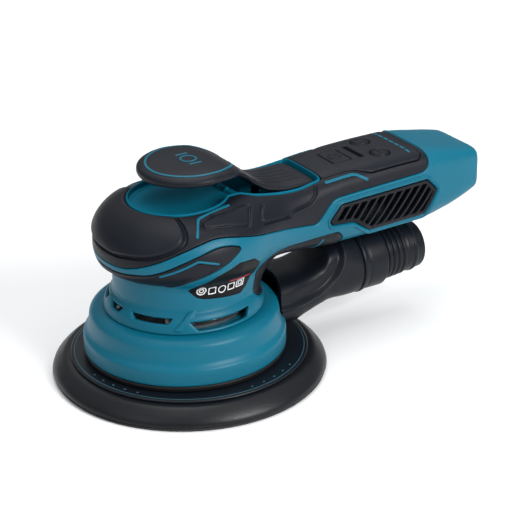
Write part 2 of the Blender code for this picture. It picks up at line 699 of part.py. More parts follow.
def build_paddle():
    rings = []
    for x, width, top, bottom in PADDLE:
        rings.append(rounded_ring(x, width, top, bottom + (top - bottom) * 0.45, bottom, 3.2, 2.2, 16))
    paddle = loft("paddle", rings, "black_grip")
    for side in (-1, 1):
        low, high = sorted((side * 5.6, side * 11.8))
        x = PADDLE_PIVOT[0]
        barrel = arc(PADDLE_PIVOT, BARREL_RADIUS, 180, 360, 8)
        barrel += [(x + BARREL_RADIUS, 96.4), (x - BARREL_RADIUS, 96.4)]
        join(paddle, plate(f"paddle_barrel_{side + 2}", barrel, low, high, plane="XZ"))
    cut(paddle, plate("paddle_bore", on_circle(PIN_RADIUS + GAP, 12, 0, PADDLE_PIVOT), -16, 16, plane="XZ"))
    plate("paddle_pin", on_circle(PIN_RADIUS, 12, 0, PADDLE_PIVOT), -15, 15, "steel", plane="XZ")


def build_spring():
    """The torsion spring that lifts the paddle, wound round its pin."""
    wire = 0.55
    coil = 2.7
    turns = 4
    steps = 10
    curve = bpy.data.curves.new("paddle_spring", "CURVE")
    curve.dimensions = "3D"
    curve.bevel_depth = wire * MM
    curve.bevel_resolution = 0
    curve.use_fill_caps = True
    spline = curve.splines.new("POLY")
    count = turns * steps + 1
    spline.points.add(count - 1)
    x, z = PADDLE_PIVOT
    for k in range(count):
        a = 2 * math.pi * k / steps
        y = -4.4 + 8.8 * k / (count - 1)
        spline.points[k].co = ((x + coil * math.cos(a)) * MM, y * MM, (z + coil * math.sin(a)) * MM, 1)
    drawn = bpy.data.objects.new("spring_route", curve)
    bpy.context.scene.collection.objects.link(drawn)
    bpy.context.view_layer.update()
    mesh = bpy.data.meshes.new_from_object(drawn.evaluated_get(bpy.context.evaluated_depsgraph_get()))
    mesh.materials.clear()
    bpy.data.objects.remove(drawn)
    work = bmesh.new()
    work.from_mesh(mesh)
    bmesh.ops.remove_doubles(work, verts=work.verts, dist=0.00001)
    work.to_mesh(mesh)
    work.free()
    piece("paddle_spring", mesh, "steel")


# ---------------------------------------------------------------- controls and electronics

def build_controls(panel):
    seats = []
    power = [(92, -8.5), (103.5, -8.5), (103.5, 8.5), (92, 8.5)]
    plate("power_button", power, 98.8, 101.9, "panel_plastic", bevel=0.6)
    seats.append(plate("power_seat", grown(power, GAP), 95, 110))
    light = [(109, -9), (111, -9), (111, 9), (109, 9)]
    plate("status_light", light, 99, 101.8, "light_lens")
    seats.append(plate("light_seat", grown(light, GAP), 95, 110))
    for name, y in (("speed_up_button", SPEED_BUTTON_Y), ("speed_down_button", -SPEED_BUTTON_Y)):
        outline = on_circle(SPEED_BUTTON_RADIUS, 14, 3, (SPEED_BUTTON_X, y))
        plate(name, outline, 98.8, 102.1, "panel_plastic", bevel=0.5)
        seats.append(plate(name + "_seat", grown(outline, GAP), 95, 110))
    bpy.context.view_layer.update()
    cut(panel, joined_cutter("control_seats", seats))


def build_electronics():
    box("control_board", (97.5, -19, 70), (137, 19, 71.6), "circuit_board")
    box("power_module", (99, -14, 71.9), (115, 14, 80), "cast_aluminium", bevel=0.6)
    for name, y in (("capacitor_left", -9), ("capacitor_right", 9)):
        disc_of(name, 7.6, 117, 136, "capacitor_sleeve", 16, (y, 79.6), "X")
    switch = box("paddle_switch", (40, -5, 75), (52, 5, 83.6), "black_plastic")
    spot = (PLUNGER_X, 0)
    cut(switch, disc_of("plunger_bore", PLUNGER_RADIUS + GAP, 79, 90, sides=12, centre=spot, twist=5))
    disc_of("switch_plunger", PLUNGER_RADIUS, 83.2, 95.7, "panel_plastic", 12, spot)
    ring_of("power_inlet", 3.6, 7.7, 164, 181, "black_plastic", 20, (0, INLET_Z), "X")


def handle_screws(housing, panel):
    """Two screws from below that draw the control panel's posts down onto the housing."""
    drills = []
    for name, x, y in (("handle_screw_front", 93, 13.5), ("handle_screw_rear", 141.5, -13.5)):
        seat = body_bottom(x) + 2
        post = disc_of(name + "_post", 3, seat + WALL + 3, body_top(x) - 2, sides=10, centre=(x, y), twist=4)
        join(panel, post)
        screw = [(0, 74), (SCREW_RADIUS, 74), (SCREW_RADIUS, seat), (HANDLE_SCREW_HEAD, seat),
                 (HANDLE_SCREW_HEAD, seat - 1.2), (0, seat - 1.2)]
        turned(name, screw, "screw_steel", 10, (x, y))
        shank = SCREW_RADIUS + GAP
        head = HANDLE_SCREW_HEAD + GAP
        drill = [(0, 74.4), (shank, 74.4), (shank, seat + GAP), (head, seat + GAP), (head, seat - 7),
                 (0, seat - 7)]
        drills.append(turned(name + "_drill", drill, None, 10, (x, y), twist=9))
    bpy.context.view_layer.update()
    holes = joined_cutter("handle_screw_holes", drills)
    cut(housing, holes)
    cut(panel, holes)


def build_outlet():
    """The fixed collar on the duct's end, and the ribbed nozzle that swivels in it."""
    axis = (0, DUCT_Z)
    ring_of("duct_collar", 14.6, 17.8, DUCT_END + GAP, 124, "black_plastic", 24, axis, "X")
    profile = [(13.7, NOZZLE_END), (14, 145), (14.8, 144.8), (14.6, 133), (15.5, 132.8), (15.8, 124.4),
               (14.2, 124.4), (14.2, 108), (11.4, 108), (11.4, NOZZLE_END)]
    turned("nozzle", profile, "black_plastic", 24, axis, "X")


def build_label():
    """A blank plate on the neck, where the maker's data would be."""
    outline = [(-16, 64), (-8, 58.5), (16, 56), (25, 64), (14, 68)]
    proud = -0.9               # it stands this far out of the neck
    made = loft("rating_plate", neck_rings(NECK_LEVELS[1:], proud), "label_black")
    join(made, loft("rating_body_front", [body_ring(x, proud) for x in STATIONS]))
    cut(made, loft("rating_body_back", [body_ring(x, -GAP) for x in STATIONS]))
    back_levels = [(40, 41, 0.95)] + NECK_LEVELS[1:4] + [(76, 70, 0.6)]
    cut(made, loft("rating_neck_back", neck_rings(back_levels, -GAP)))
    keep(made, plate("rating_field", outline, -SIDE_REACH, -10, plane="XZ"))


clear_scene()
PARTS = new_collection("orbital_sander")
CUTTERS = new_collection("cutters")
build_pad()
build_rotor()
build_motor()
passage = build_duct()
shroud = build_shroud(passage)
housing, hollow, neck, neck_bore = build_housing()
panel = build_covers(hollow, neck, neck_bore)
build_tray()
build_paddle()
build_spring()
build_controls(panel)
build_electronics()
handle_screws(housing, panel)
shroud_screws(shroud, housing)
build_outlet()
build_label()
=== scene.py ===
"""The looks of an electric random-orbital sander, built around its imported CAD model.

Sizes are in millimetres and MM turns them into the scene's metres. The frame is the CAD model's: the
origin is where the motor's axis meets the abrasive face, +X runs to the rear of the handle, +Z is up.
Each visible shell is a patch of a curved surface. The patch is cut along the shell's outline, its
edges are rounded, grooves and steps are pressed into it, and an inner skin closes it.
"""

import math

import bpy
import numpy as np
from mathutils import Matrix, Vector


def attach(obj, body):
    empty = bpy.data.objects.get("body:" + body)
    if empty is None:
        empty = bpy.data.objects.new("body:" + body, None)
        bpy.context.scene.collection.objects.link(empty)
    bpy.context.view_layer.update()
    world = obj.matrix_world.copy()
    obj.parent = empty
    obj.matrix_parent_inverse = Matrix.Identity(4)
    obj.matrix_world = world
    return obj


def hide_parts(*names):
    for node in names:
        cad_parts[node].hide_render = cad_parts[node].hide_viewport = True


MM = 0.001
TRUE_REACH = 4.0  # fields are turned into true distances this near their outline
FIELD_STEP = 0.05  # how far a field is sampled to each side for that, along the first coordinate
FIELD_TURN = 0.001  # and in radians
NORMAL_STEP = 0.01  # the same for a surface's normals
NORMAL_TURN = 0.0003
WELD = 0.00173  # points nearer to each other than this are merged
LIP_ROWS = (0.134, 0.5, 1)  # where a rounded edge gets rows of points, as shares of its width
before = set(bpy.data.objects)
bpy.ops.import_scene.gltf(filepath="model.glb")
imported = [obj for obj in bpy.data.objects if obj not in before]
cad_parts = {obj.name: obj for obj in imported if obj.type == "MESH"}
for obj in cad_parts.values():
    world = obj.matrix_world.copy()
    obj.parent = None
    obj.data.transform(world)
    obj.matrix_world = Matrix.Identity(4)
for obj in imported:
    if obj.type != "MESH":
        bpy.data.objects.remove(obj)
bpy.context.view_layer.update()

# driving sizes, as in the CAD model, but with the handle's rear end 1.5 mm further back
GAP = 0.3  # between two covers
WALL = 2.4  # a cover's thickness
HEAD_RADIUS = 47.5
NECK_RADIUS = 38.0
FOOT_RADIUS = 41.0  # of the neck's foot at the vent slots
NECK_BLEND = 8.0  # how widely the neck's sides melt into the body's sides
NECK_SINK = 0.03  # how far the blend dips under the body's surface
NECK_TUCK = 0.35  # and how far its last edge does
NECK_FADE = (68, 78)  # the heights over which the blend runs out
NECK_PULL = 3.0  # how far the neck's sides draw in over them
REAR = 182.5  # X of the handle's rear face
REAR_ROUND = 1.8
INLET_Z = 80.0
INLET_HOLE = 8.2
PAD_RADIUS = 75.0
PLATE_RADIUS = 64.6
OUTER_HOLES = 43  # the radius of the circle of eight dust holes
INNER_HOLES = 28  # and of the six inside it
HOLE_RADIUS = 4.6
ORBIT_OFFSET = 2.5  # from the motor's axis to the pad's
DUCT_Z = 36.0  # the height of the outlet's axis
DUCT_END = 106.5
DISC_CENTRE = 5.4  # X of the middle of the paddle's disc
DISC_RADIUS = 27.5
DISH_X = -1.5  # X of the middle of the dish under it
DISH_RADIUS = 27.5
DISH_Z = 99.0
POCKET_Z = 86.6  # the floor of the pocket behind the dish
GROOVE_PITCH = 4.6  # between the saddle's grooves
SPEED_X = 121.5
SPEED_Y = 9.6
SPEED_RADIUS = 5.4
SLOT_SLANT = 0.77  # of the grille's slots
SLOT_PITCH = 5.7
PADDLE_TIP = -DISC_RADIUS * math.pi / 2
PADDLE_END = 4.0  # what the paddle's rear end face takes of its first coordinate

# the body's first coordinate: X, and the arc length round the front of the head and round the rear edge
NOSE = -HEAD_RADIUS * math.pi / 2
REAR_EDGE = REAR - REAR_ROUND
END_FACE = REAR_EDGE + REAR_ROUND * math.pi / 2
END_SPAN = 12.0  # what the rear face takes of it

# the head and handle, as (x, value)
HALF_WIDTH = [(10, 46.4), (22, 41.8), (36, 34.5), (52, 28.5), (70, 26), (100, 25.5), (140, 25.5), (160, 24),
    (174, 22.4), (182.5, 21)]
TOP = [(-47.5, 80), (-46, 87), (-42, 93), (-34, 99), (-20, 103.5), (0, 105.5), (20, 104.5), (40, 101),
    (60, 99), (75, 99.8), (90, 101), (120, 101.8), (145, 101.4), (165, 98.2), (177, 95.8), (182.5, 94.4)]
BOTTOM = [(-47.5, 76), (-46, 70), (-42, 66), (-34, 63), (-20, 60), (0, 58), (20, 57), (38, 60), (60, 59),
    (90, 57), (145, 58), (160, 61), (174, 66), (182.5, 69.6)]
WAIST = [(-47.5, 78), (-30, 79), (0, 80), (40, 78), (80, 79), (140, 80), (182.5, 82)]
UPPER_POWER = [(-47.5, 2.2), (0, 2.3), (40, 2.7), (80, 4.4), (140, 5), (182.5, 6)]
LOWER_POWER = [(-47.5, 2.2), (0, 2.3), (40, 2.4), (80, 3.2), (150, 3.6), (182.5, 5)]
# the neck, as (z, rear, share of the width left there), and its foot, as (z, radius)
NECK_LEVELS = [(41.2, 38.2, 1.0), (47, 43.6, 0.89), (54, 48, 0.82), (63, 59, 0.76), (71, 66, 0.66)]
FOOT = [(40.9, 43.3), (45.5, 41.9), (49, 39.8), (51.5, 36.6), (56, 33)]
# the duct and the paddle, as (x, half width, top, bottom)
DUCT = [(46, 24, 45.5, 17), (58, 23, 45.5, 17), (68, 21, 45.5, 19), (78, 19.5, 47.5, 21),
    (85, 18.5, 54, 21.5), (96, 18, 55.5, 19.6), (DUCT_END, 18, 54, 18)]
PADDLE = [(-22, 4, 117.5, 115), (-20.5, 10, 118.8, 114), (-16, 17, 119.8, 113.3), (-8, 24, 120.6, 113),
    (5.4, 27.5, 121, 113), (16, 25.5, 120.2, 113), (24, 20.5, 117.8, 111.5), (31, 16, 113, 107.5),
    (38, 14, 107, 101.5), (46, 15.5, 101.8, 96.8), (58, 16.6, 99.4, 95.2), (70, 16.4, 99.2, 95.4),
    (73.6, 15.6, 98.8, 96)]

# outlines in the side view, as (x, z)
COVER_EDGE = [(-60, 76.5), (-47, 76.4), (-42, 78.2), (-35, 82.2), (-23, 88.2), (-9, 92.4), (0, 92.9),
    (10, 91), (20, 88.2), (34, 84.2), (50, 80.4), (64, 77.8)]
COVER_REAR = [(69.5, 77), (80.5, 89.2), (141, 91.2), (144.6, 95), (144.6, 125), (-60, 125)]
BAND_TOP = [(-60, 72.8), (-46.8, 73), (-42, 74.2), (-37, 75.6), (-31, 78.8), (-24, 82.6), (-16, 85.9),
    (-6, 88.8), (2, 88.8), (8.4, 87)]
BAND_LOW = [(9.6, 85.2), (1, 80), (-10, 75.2), (-19, 71), (-26, 64), (-27, 50), (-60, 50)]
GRIP = [(25.6, 50), (26.3, 57.7), (25.8, 62.6), (29, 67.4), (39, 69.6), (62, 68.3), (84, 68.6), (88, 64),
    (88, 50), (46, 40), (29, 47)]
LABEL = [(-17, 64), (-12.5, 59), (-8.6, 57.6), (14.5, 54.6), (19, 58), (24.5, 72), (19, 76.6), (7.5, 78.6),
    (-5.4, 73.6)]
DUCT_WEB = [(94.4, 80), (94.4, 54.8), (92.2, 46.3), (87.5, 38.4), (78.8, 32.7), (65.6, 30.7), (30, 30.9),
    (30, 80)]
GRILLE = [(85, 84.6), (143, 86.2), (150.6, 78.2), (142.6, 64.4), (106, 63.6), (94, 72.2), (79, 73.8),
    (78, 76.8)]
BUMPER = [(-60, 83), (-46.8, 83.2), (-44.1, 83.9), (-37.5, 85.2), (-31.5, 87.3), (-25.5, 90), (-21, 92.3),
    (-18.2, 95.4), (-16.9, 98.8), (-16.9, 125), (-60, 125)]
BAND_STEP = [(-60, 69.5), (-46, 69.8), (-40, 71.5), (-33.4, 74.8), (-15.6, 82.8), (-4, 79.6), (12, 83)]
ZIGZAG = [(-32.4, 75.9), (-15.6, 83.9), (-5.4, 81)]

# lines on the body, as (x, y, z) on the left side
HOOK = [(-12.6, -38.8, 94.5), (-7.2, -30.6, 100.4), (13.6, -26.4, 101.8)]
TOP_INLAY = [(78.2, -20.9, 97.6), (94.8, -21.2, 98.7), (96.8, -21.8, 98.5), (102.8, -24.3, 95.1)]
PANEL_A = [(-7.9, -36.9, 97), (-6.8, -33, 99.4), (3, -30.2, 101), (16, -29, 100.8), (24, -27, 100.2),
    (26.5, -27, 99.2), (22.6, -32.6, 97), (18.9, -38.3, 93.2), (5.3, -38.6, 96.4)]
PANEL_B = [(34.7, -26, 96.9), (31, -30.5, 94.8), (29.4, -33.6, 92.4), (30.6, -34.6, 90.2), (50.9, -28.3, 87),
    (54.3, -27.2, 89), (65.9, -25.6, 90.3), (69.8, -24, 94), (71.6, -20.8, 97.2)]

# outlines in the top view, as (x, y): the control plate's left half, and what is let into it
PLATE = [(77.3, -17.8), (95.6, -18.2), (98.8, -19.7), (106, -22.9), (139, -22.9), (142.2, -20.4)]
POWER_SEAT = [(92, -8.5), (103.5, -8.5), (103.5, 8.5), (92, 8.5)]
LIGHT_SEAT = [(109, -9), (111, -9), (111, 9), (109, 9)]

# the vent slots, as (azimuth, half of its span, low, high)
VENTS = [(180, 8, 46, 48.6), (215, 17, 46, 48.7), (145, 17, 46, 48.7), (271, 26, 42.4, 46.8),
    (89, 26, 42.4, 46.8)]
# the label's marks in the side view, as (kind, x, z, size)
LABEL_MARKS = [("ring", -10, 63, 2.3), ("ring", -10, 63, 1.1), ("box", -4.2, 62.2, 1.9),
    ("ring", 1.6, 61.7, 2.1), ("box", 7.2, 61.8, 1.9), ("box", 13, 62.2, 2.3), ("box", 13, 62.2, 1.1)]

SKY_LOW = 0.12  # the surrounding light's strength near the horizon
SKY_HIGH = 0.80  # and overhead
# name, place in metres, size and power
LIGHTS = [("key", (0.35, -1.15, 0.75), 0.55, 17.0), ("side", (-1.1, -0.35, 0.8), 0.7, 1.5),
          ("back", (0.5, 0.75, 1.4), 0.6, 4.0), ("top", (-0.1, 0.0, 1.6), 0.9, 7.0)]


# ---- curves and distances

def smooth_curve(points):
    """The value at x of a curve through the points that never overshoots them."""
    xs, ys = np.array(points, float).T
    steps = np.diff(xs)
    slopes = np.diff(ys) / steps
    inner = [2 * a * b / (a + b) if a * b > 0 else 0.0 for a, b in zip(slopes, slopes[1:])]
    tangents = np.array([slopes[0]] + inner + [slopes[-1]])

    def value(x):
        x = np.clip(x, xs[0], xs[-1])
        i = np.clip(np.searchsorted(xs, x, side="right") - 1, 0, len(steps) - 1)
        h = steps[i]
        t = (x - xs[i]) / h
        return (ys[i] * (1 + 2 * t) * (1 - t) ** 2 + ys[i + 1] * t * t * (3 - 2 * t)
                + h * (tangents[i] * t * (1 - t) ** 2 - tangents[i + 1] * t * t * (1 - t)))
    return value


def column(table, k):
    """The smooth curve through one column of a table, along its first column."""
    return smooth_curve([(row[0], row[k]) for row in table])


def through(points, parts=4):
    """A smooth line through all the points, in two or three dimensions."""
    p = np.array(points, float)
    p = np.vstack([2 * p[0] - p[1], p, 2 * p[-1] - p[-2]])
    line = []
    for a, b, c, d in zip(p, p[1:], p[2:], p[3:]):
        for t in np.arange(parts) / parts:
            line.append(0.5 * (2 * b + (c - a) * t + (2 * a - 5 * b + 4 * c - d) * t * t
                               + (3 * b - a - 3 * c + d) * t ** 3))
    return [tuple(q) for q in line] + [tuple(points[-1])]


def rounded(points, reach, closed=True, parts=5):
    """The line with its corners rounded, each curve starting at most reach before its corner."""
    p = [np.array(q, float) for q in points]
    line = []
    for k, corner in enumerate(p):
        if not closed and k in (0, len(p) - 1):
            line.append(corner)
            continue
        before = p[k - 1] - corner
        after = p[(k + 1) % len(p)] - corner
        start = corner + before * min(reach / np.linalg.norm(before), 0.48)
        end = corner + after * min(reach / np.linalg.norm(after), 0.48)
        for t in np.arange(parts + 1) / parts:
            line.append(start * (1 - t) ** 2 + corner * 2 * t * (1 - t) + end * t * t)
    return [tuple(q) for q in line]


def segment_distance(p, a, b):
    along = b - a
    t = np.clip(((p - a) @ along) / (along @ along), 0, 1)
    return np.linalg.norm(p - a - t[:, None] * along, axis=1)


def line_distance(p, line):
    q = np.array(line, float)
    return np.min([segment_distance(p, a, b) for a, b in zip(q, q[1:])], axis=0)


def outline_distance(p, outline):
    """Distance to a closed outline, positive inside it."""
    q = np.array(outline, float)
    nearest = np.full(len(p), 1e9)
    inside = np.zeros(len(p), bool)
    for a, b in zip(q, np.roll(q, -1, axis=0)):
        nearest = np.minimum(nearest, segment_distance(p, a, b))
        if a[1] != b[1]:
            spans = (p[:, 1] < a[1]) != (p[:, 1] < b[1])
            inside ^= spans & (p[:, 0] < a[0] + (p[:, 1] - a[1]) * (b[0] - a[0]) / (b[1] - a[1]))
    return np.where(inside, nearest, -nearest)


def on_side(outline):
    return lambda p: outline_distance(p[:, [0, 2]], outline)


def on_top(outline):
    return lambda p: outline_distance(p[:, [0, 1]], outline)


def above(height, field):
    """The field, but only above a height."""
    return lambda p: np.where(p[:, 2] > height, field(p), -50)


def less_gap(field):
    """The field of a cover that stops half a gap inside its outline."""
    return lambda p: field(p) - GAP / 2


def mirrored(p):
    """The points with those of the right side moved to the left side."""
    return np.column_stack([p[:, 0], -np.abs(p[:, 1]), p[:, 2]])


def beside(line):
    """Distance to a line on the left side and to its mirror image on the right."""
    return lambda p: line_distance(mirrored(p), line)


def ramp(value, start, end):
    t = np.clip((value - start) / (end - start), 0, 1)
    return t * t * (3 - 2 * t)


# ---- surfaces

body_width = smooth_curve(HALF_WIDTH)
body_top = smooth_curve(TOP)
body_bottom = smooth_curve(BOTTOM)
body_waist = smooth_curve(WAIST)
upper_power = smooth_curve(UPPER_POWER)
lower_power = smooth_curve(LOWER_POWER)
neck_rear = column(NECK_LEVELS, 1)
neck_share = column(NECK_LEVELS, 2)
foot_radius = smooth_curve(FOOT)
duct_width, duct_top, duct_bottom = (column(DUCT, k) for k in (1, 2, 3))
paddle_width = column([row for row in PADDLE if row[0] >= DISC_CENTRE], 1)
paddle_top = column(PADDLE, 2)
paddle_bottom = column(PADDLE, 3)


def superellipse(width, top, waist, bottom, power_up, power_down, turn):
    c = np.cos(turn)
    s = np.sin(turn)
    power = np.where(s >= 0, power_up, power_down)
    stretch = (np.abs(c) ** power + np.abs(s) ** power) ** (-1 / power)
    return width * c * stretch, waist + np.where(s >= 0, top - waist, waist - bottom) * s * stretch


def half_width(x):
    return np.where(x < HALF_WIDTH[0][0], np.sqrt(np.maximum(HEAD_RADIUS ** 2 - x * x, 0)), body_width(x))


def body(at):
    """The head and handle. The first coordinate runs along X and the second turns about X."""
    u, turn = at.T
    bend = np.clip((u - REAR_EDGE) / REAR_ROUND, 0, math.pi / 2)
    x = np.where(u < 0, HEAD_RADIUS * np.sin(np.maximum(u, NOSE) / HEAD_RADIUS),
                 np.minimum(u, REAR_EDGE) + REAR_ROUND * np.sin(bend))
    shrink = REAR_ROUND * (1 - np.cos(bend))
    y, z = superellipse(half_width(x), body_top(x), body_waist(x), body_bottom(x),
                        upper_power(x), lower_power(x), turn)
    waist = body_waist(x)
    size = np.hypot(y, z - waist) + 1e-6
    y = y * (1 - shrink / size)
    z = waist + (z - waist) * (1 - shrink / size)
    inward = np.clip((u - END_FACE) / END_SPAN, 0, 1)
    y = y * (1 - inward) + INLET_HOLE * np.cos(turn) * inward
    z = z * (1 - inward) + (INLET_Z + INLET_HOLE * np.sin(turn)) * inward
    return np.column_stack([x, y, z])


def section(x, z):
    """The waist's height, and the reach and power of the body's section on one side of it."""
    waist = body_waist(x)
    reach = np.where(z >= waist, body_top(x) - waist, waist - body_bottom(x))
    return waist, reach, np.where(z >= waist, upper_power(x), lower_power(x))


def body_depth(p):
    """About how far points lie under the body's surface: negative outside."""
    x, y, z = p.T
    waist, reach, power = section(x, z)
    width = np.maximum(half_width(x), 0.01)
    level = (np.abs(y / width) ** power + np.abs((z - waist) / reach) ** power) ** (1 / power)
    return np.where(x < -HEAD_RADIUS, -9, (1 - level) * np.minimum(width, reach))


def body_height(x, y):
    """The height of the body's upper side."""
    power = upper_power(x)
    share = np.clip(1 - np.abs(y / np.maximum(half_width(x), 0.01)) ** power, 0, 1)
    return body_waist(x) + (body_top(x) - body_waist(x)) * share ** (1 / power)


def body_side(x, z):
    """Half the body's width at a height, or zero above and below it."""
    waist, reach, power = section(x, z)
    share = np.clip(1 - np.abs((z - waist) / reach) ** power, 0, 1)
    return half_width(x) * share ** (1 / power)


def neck_shape(at):
    """The neck and its flared foot before it melts into the body, and the body's half width beside it."""
    z, turn = at.T
    c = np.cos(turn)
    x = np.where(c < 0, NECK_RADIUS, neck_rear(z)) * c
    y = NECK_RADIUS * np.sin(turn) * (1 - (1 - neck_share(z)) * np.maximum(c, 0) ** 2)
    radius = np.hypot(x, y)
    flare = foot_radius(z)
    grown = 0.5 * (radius + flare + np.sqrt((radius - flare) ** 2 + 1))
    x = x * grown / radius
    y = y * grown / radius
    beside = ramp(x, -34, -14)
    return x, y, z, body_side(x, z) * beside + (np.abs(y) - NECK_BLEND) * (1 - beside)


def neck(at):
    """The neck. The first coordinate is the height and the second the azimuth."""
    x, y, z, side = neck_shape(at)
    fade = ramp(z, *NECK_FADE)
    width = np.maximum(np.abs(y) - NECK_PULL * fade, 0)
    overlap = np.clip(1 - np.abs(width - side) / NECK_BLEND, 0, 1) * (1 - fade)
    sink = NECK_SINK * (1 - overlap) + NECK_TUCK * np.clip(1 - 4 * overlap, 0, 1) ** 2
    sink = sink * ramp(width, 2, NECK_BLEND)
    width = np.maximum(width, side) + overlap ** 3 * NECK_BLEND / 6 - sink
    return np.column_stack([x, np.copysign(width, y), z])


def normals(surface, at):
    along = surface(at + [NORMAL_STEP, 0]) - surface(at - [NORMAL_STEP, 0])
    across = surface(at + [0, NORMAL_TURN]) - surface(at - [0, NORMAL_TURN])
    out = np.cross(across, along)
    return out / (np.linalg.norm(out, axis=1)[:, None] + 1e-12)


# ---- patches of a surface

class Patch:
    """A mesh in a surface's two coordinates. It can be split along the level lines of a field."""

    def __init__(self, surface, us, vs):
        self.surface = surface
        self.at = np.array([(u, v) for u in us for v in vs], float)
        rows, columns = len(us), len(vs)
        i, j = np.meshgrid(np.arange(rows - 1), np.arange(columns - 1), indexing="ij")
        first = (i * columns + j).ravel()
        self.faces = np.column_stack([first, first + columns, first + columns + 1, first + 1])

    def copy(self):
        other = Patch.__new__(Patch)
        other.surface, other.at, other.faces = self.surface, self.at.copy(), self.faces.copy()
        return other

    def places(self, offset=None):
        p = self.surface(self.at)
        if offset is None:
            return p
        return p + normals(self.surface, self.at) * np.reshape(offset, (-1, 1))

    def value(self, field, true, at=None):
        """The field at the points. A true value is a distance along the surface, however it was measured."""
        at = self.at if at is None else at
        here = field(self.surface(at))
        if not true:
            return here
        close = np.abs(here) < TRUE_REACH
        at = at[close]
        if len(at) == 0:
            return here
        h, k = FIELD_STEP, FIELD_TURN
        spots = [self.surface(at + shift) for shift in ([h, 0], [-h, 0], [0, k], [0, -k])]
        fields = [field(p) for p in spots]
        pu = (spots[0] - spots[1]) / (2 * h)
        pv = (spots[2] - spots[3]) / (2 * k)
        fu = (fields[0] - fields[1]) / (2 * h)
        fv = (fields[2] - fields[3]) / (2 * k)
        e, f, g = (pu * pu).sum(1), (pu * pv).sum(1), (pv * pv).sum(1)
        rate = (g * fu * fu - 2 * f * fu * fv + e * fv * fv) / np.maximum(e * g - f * f, 1e-6)
        here[close] = here[close] / np.clip(np.sqrt(np.maximum(rate, 0)), 0.35, 3.0)
        return here

    def drop_unused(self):
        used, index = np.unique(self.faces, return_inverse=True)
        self.at = self.at[used]
        self.faces = index.reshape(self.faces.shape)
        return self

    def near(self, field, margin):
        """Drops the faces that lie further outside the field than the margin."""
        value = field(self.surface(self.at))
        self.faces = self.faces[value[self.faces].max(1) > -margin]
        return self.drop_unused()

    def keep(self, field, true=True):
        value = self.value(field, true)
        self.faces = self.faces[value[self.faces].mean(1) > 0]
        return self.drop_unused()

    def split(self, field, levels, true=True, snap=0.02):
        value = self.value(field, true)
        for level in levels:
            here = value - level
            here[np.abs(here) < snap] = 0
            known = len(self.at)
            self._split(here)
            if len(self.at) > known:
                value = np.concatenate([value, self.value(field, true, self.at[known:])])
        return self

    def cut_out(self, field, levels=(), true=True, snap=0.02):
        """Keeps what lies inside the field's outline, and splits it along further levels."""
        self.split(field, [0.0], true, snap)
        self.keep(field, true)
        return self.split(field, levels, true, snap)

    def _split(self, value):
        corner = value[self.faces]
        crossing = (corner.min(1) < 0) & (corner.max(1) > 0)
        added = []
        made = {}
        fresh = []

        def between(a, b):
            key = (min(a, b), max(a, b))
            if key not in made:
                t = value[key[0]] / (value[key[0]] - value[key[1]])
                made[key] = len(self.at) + len(added)
                added.append(self.at[key[0]] * (1 - t) + self.at[key[1]] * t)
            return made[key]

        def emit(loop):
            if len(loop) == 3:
                fresh.append((loop[0], loop[1], loop[2], loop[2]))
            elif len(loop) == 4:
                fresh.append(tuple(loop))
            elif len(loop) > 4:
                fresh.append(tuple(loop[:4]))
                emit([loop[0]] + loop[3:])

        for face in self.faces[crossing].tolist():
            loop = face if face[3] != face[2] else face[:3]
            signs = [value[k] for k in loop]
            changes = sum(1 for a, b in zip(signs, signs[1:] + signs[:1]) if a * b < 0)
            parts = [loop] if changes <= 2 else [loop[:3], [loop[0], loop[2], loop[3]]]
            for part in parts:
                low, high = [], []
                for a, b in zip(part, part[1:] + part[:1]):
                    if value[a] <= 0:
                        low.append(a)
                    if value[a] >= 0:
                        high.append(a)
                    if value[a] * value[b] < 0:
                        middle = between(a, b)
                        low.append(middle)
                        high.append(middle)
                for side in (low, high):
                    if len(side) > 2:
                        emit(side)
        if added:
            self.at = np.vstack([self.at, added])
        if fresh:
            self.faces = np.vstack([self.faces[~crossing], fresh])


def welded(points, faces):
    """The mesh with coincident points merged and unused ones dropped: the map from old points to new."""
    keys = np.round(points / WELD).astype(np.int64)
    _, first, index = np.unique(keys, axis=0, return_index=True, return_inverse=True)
    index = index.ravel()
    loops = []
    for face in index[faces].tolist():
        loop = [a for k, a in enumerate(face) if a != face[k - 1]]
        if len(set(loop)) == len(loop) and len(loop) > 2:
            loops.append(loop)
    return first, loops


def add_piece(name, points, loops, slot, ride="housing", replaces=None, sharp=None, look=None):
    """A visible piece from points in millimetres. It looks like its slot unless another look is named."""
    mesh = bpy.data.meshes.new(name)
    mesh.from_pydata((points * MM).tolist(), [], loops)
    mesh.validate()
    mesh.shade_smooth()
    if sharp:
        mesh.set_sharp_from_angle(angle=math.radians(sharp))
    mesh.materials.append(material(look or slot))
    made = bpy.data.objects.new(name, mesh)
    bpy.context.scene.collection.objects.link(made)
    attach(made, ride)
    if replaces:
        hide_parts(replaces)
    return made


def closed(points, inner, faces):
    """A closed shell from an outer skin, the matching inner skin and the rims that join them."""
    first, loops = welded(points, faces)
    count = len(first)
    edges = dict.fromkeys((a, b) for loop in loops for a, b in zip(loop, loop[1:] + loop[:1]))
    rims = [(a, b) for a, b in edges if (b, a) not in edges]
    whole = list(loops)
    whole += [[count + a for a in reversed(loop)] for loop in loops]
    whole += [[b, a, count + a, count + b] for a, b in rims]
    used = sorted({a for loop in whole for a in loop})
    place = {a: k for k, a in enumerate(used)}
    return np.vstack([points[first], inner[first]])[used], [[place[a] for a in loop] for loop in whole]


def joined(*shells):
    """Several shells as one mesh."""
    points = []
    loops = []
    for some_points, some_loops in shells:
        shift = sum(len(p) for p in points)
        points.append(some_points)
        loops += [[a + shift for a in loop] for loop in some_loops]
    return np.vstack(points), loops


def lip_depth(distance, lip):
    """How far a rounded edge sinks at a distance from the outline."""
    t = np.clip(1 - distance / lip, 0, 1)
    return -lip * (1 - np.sqrt(1 - t * t))


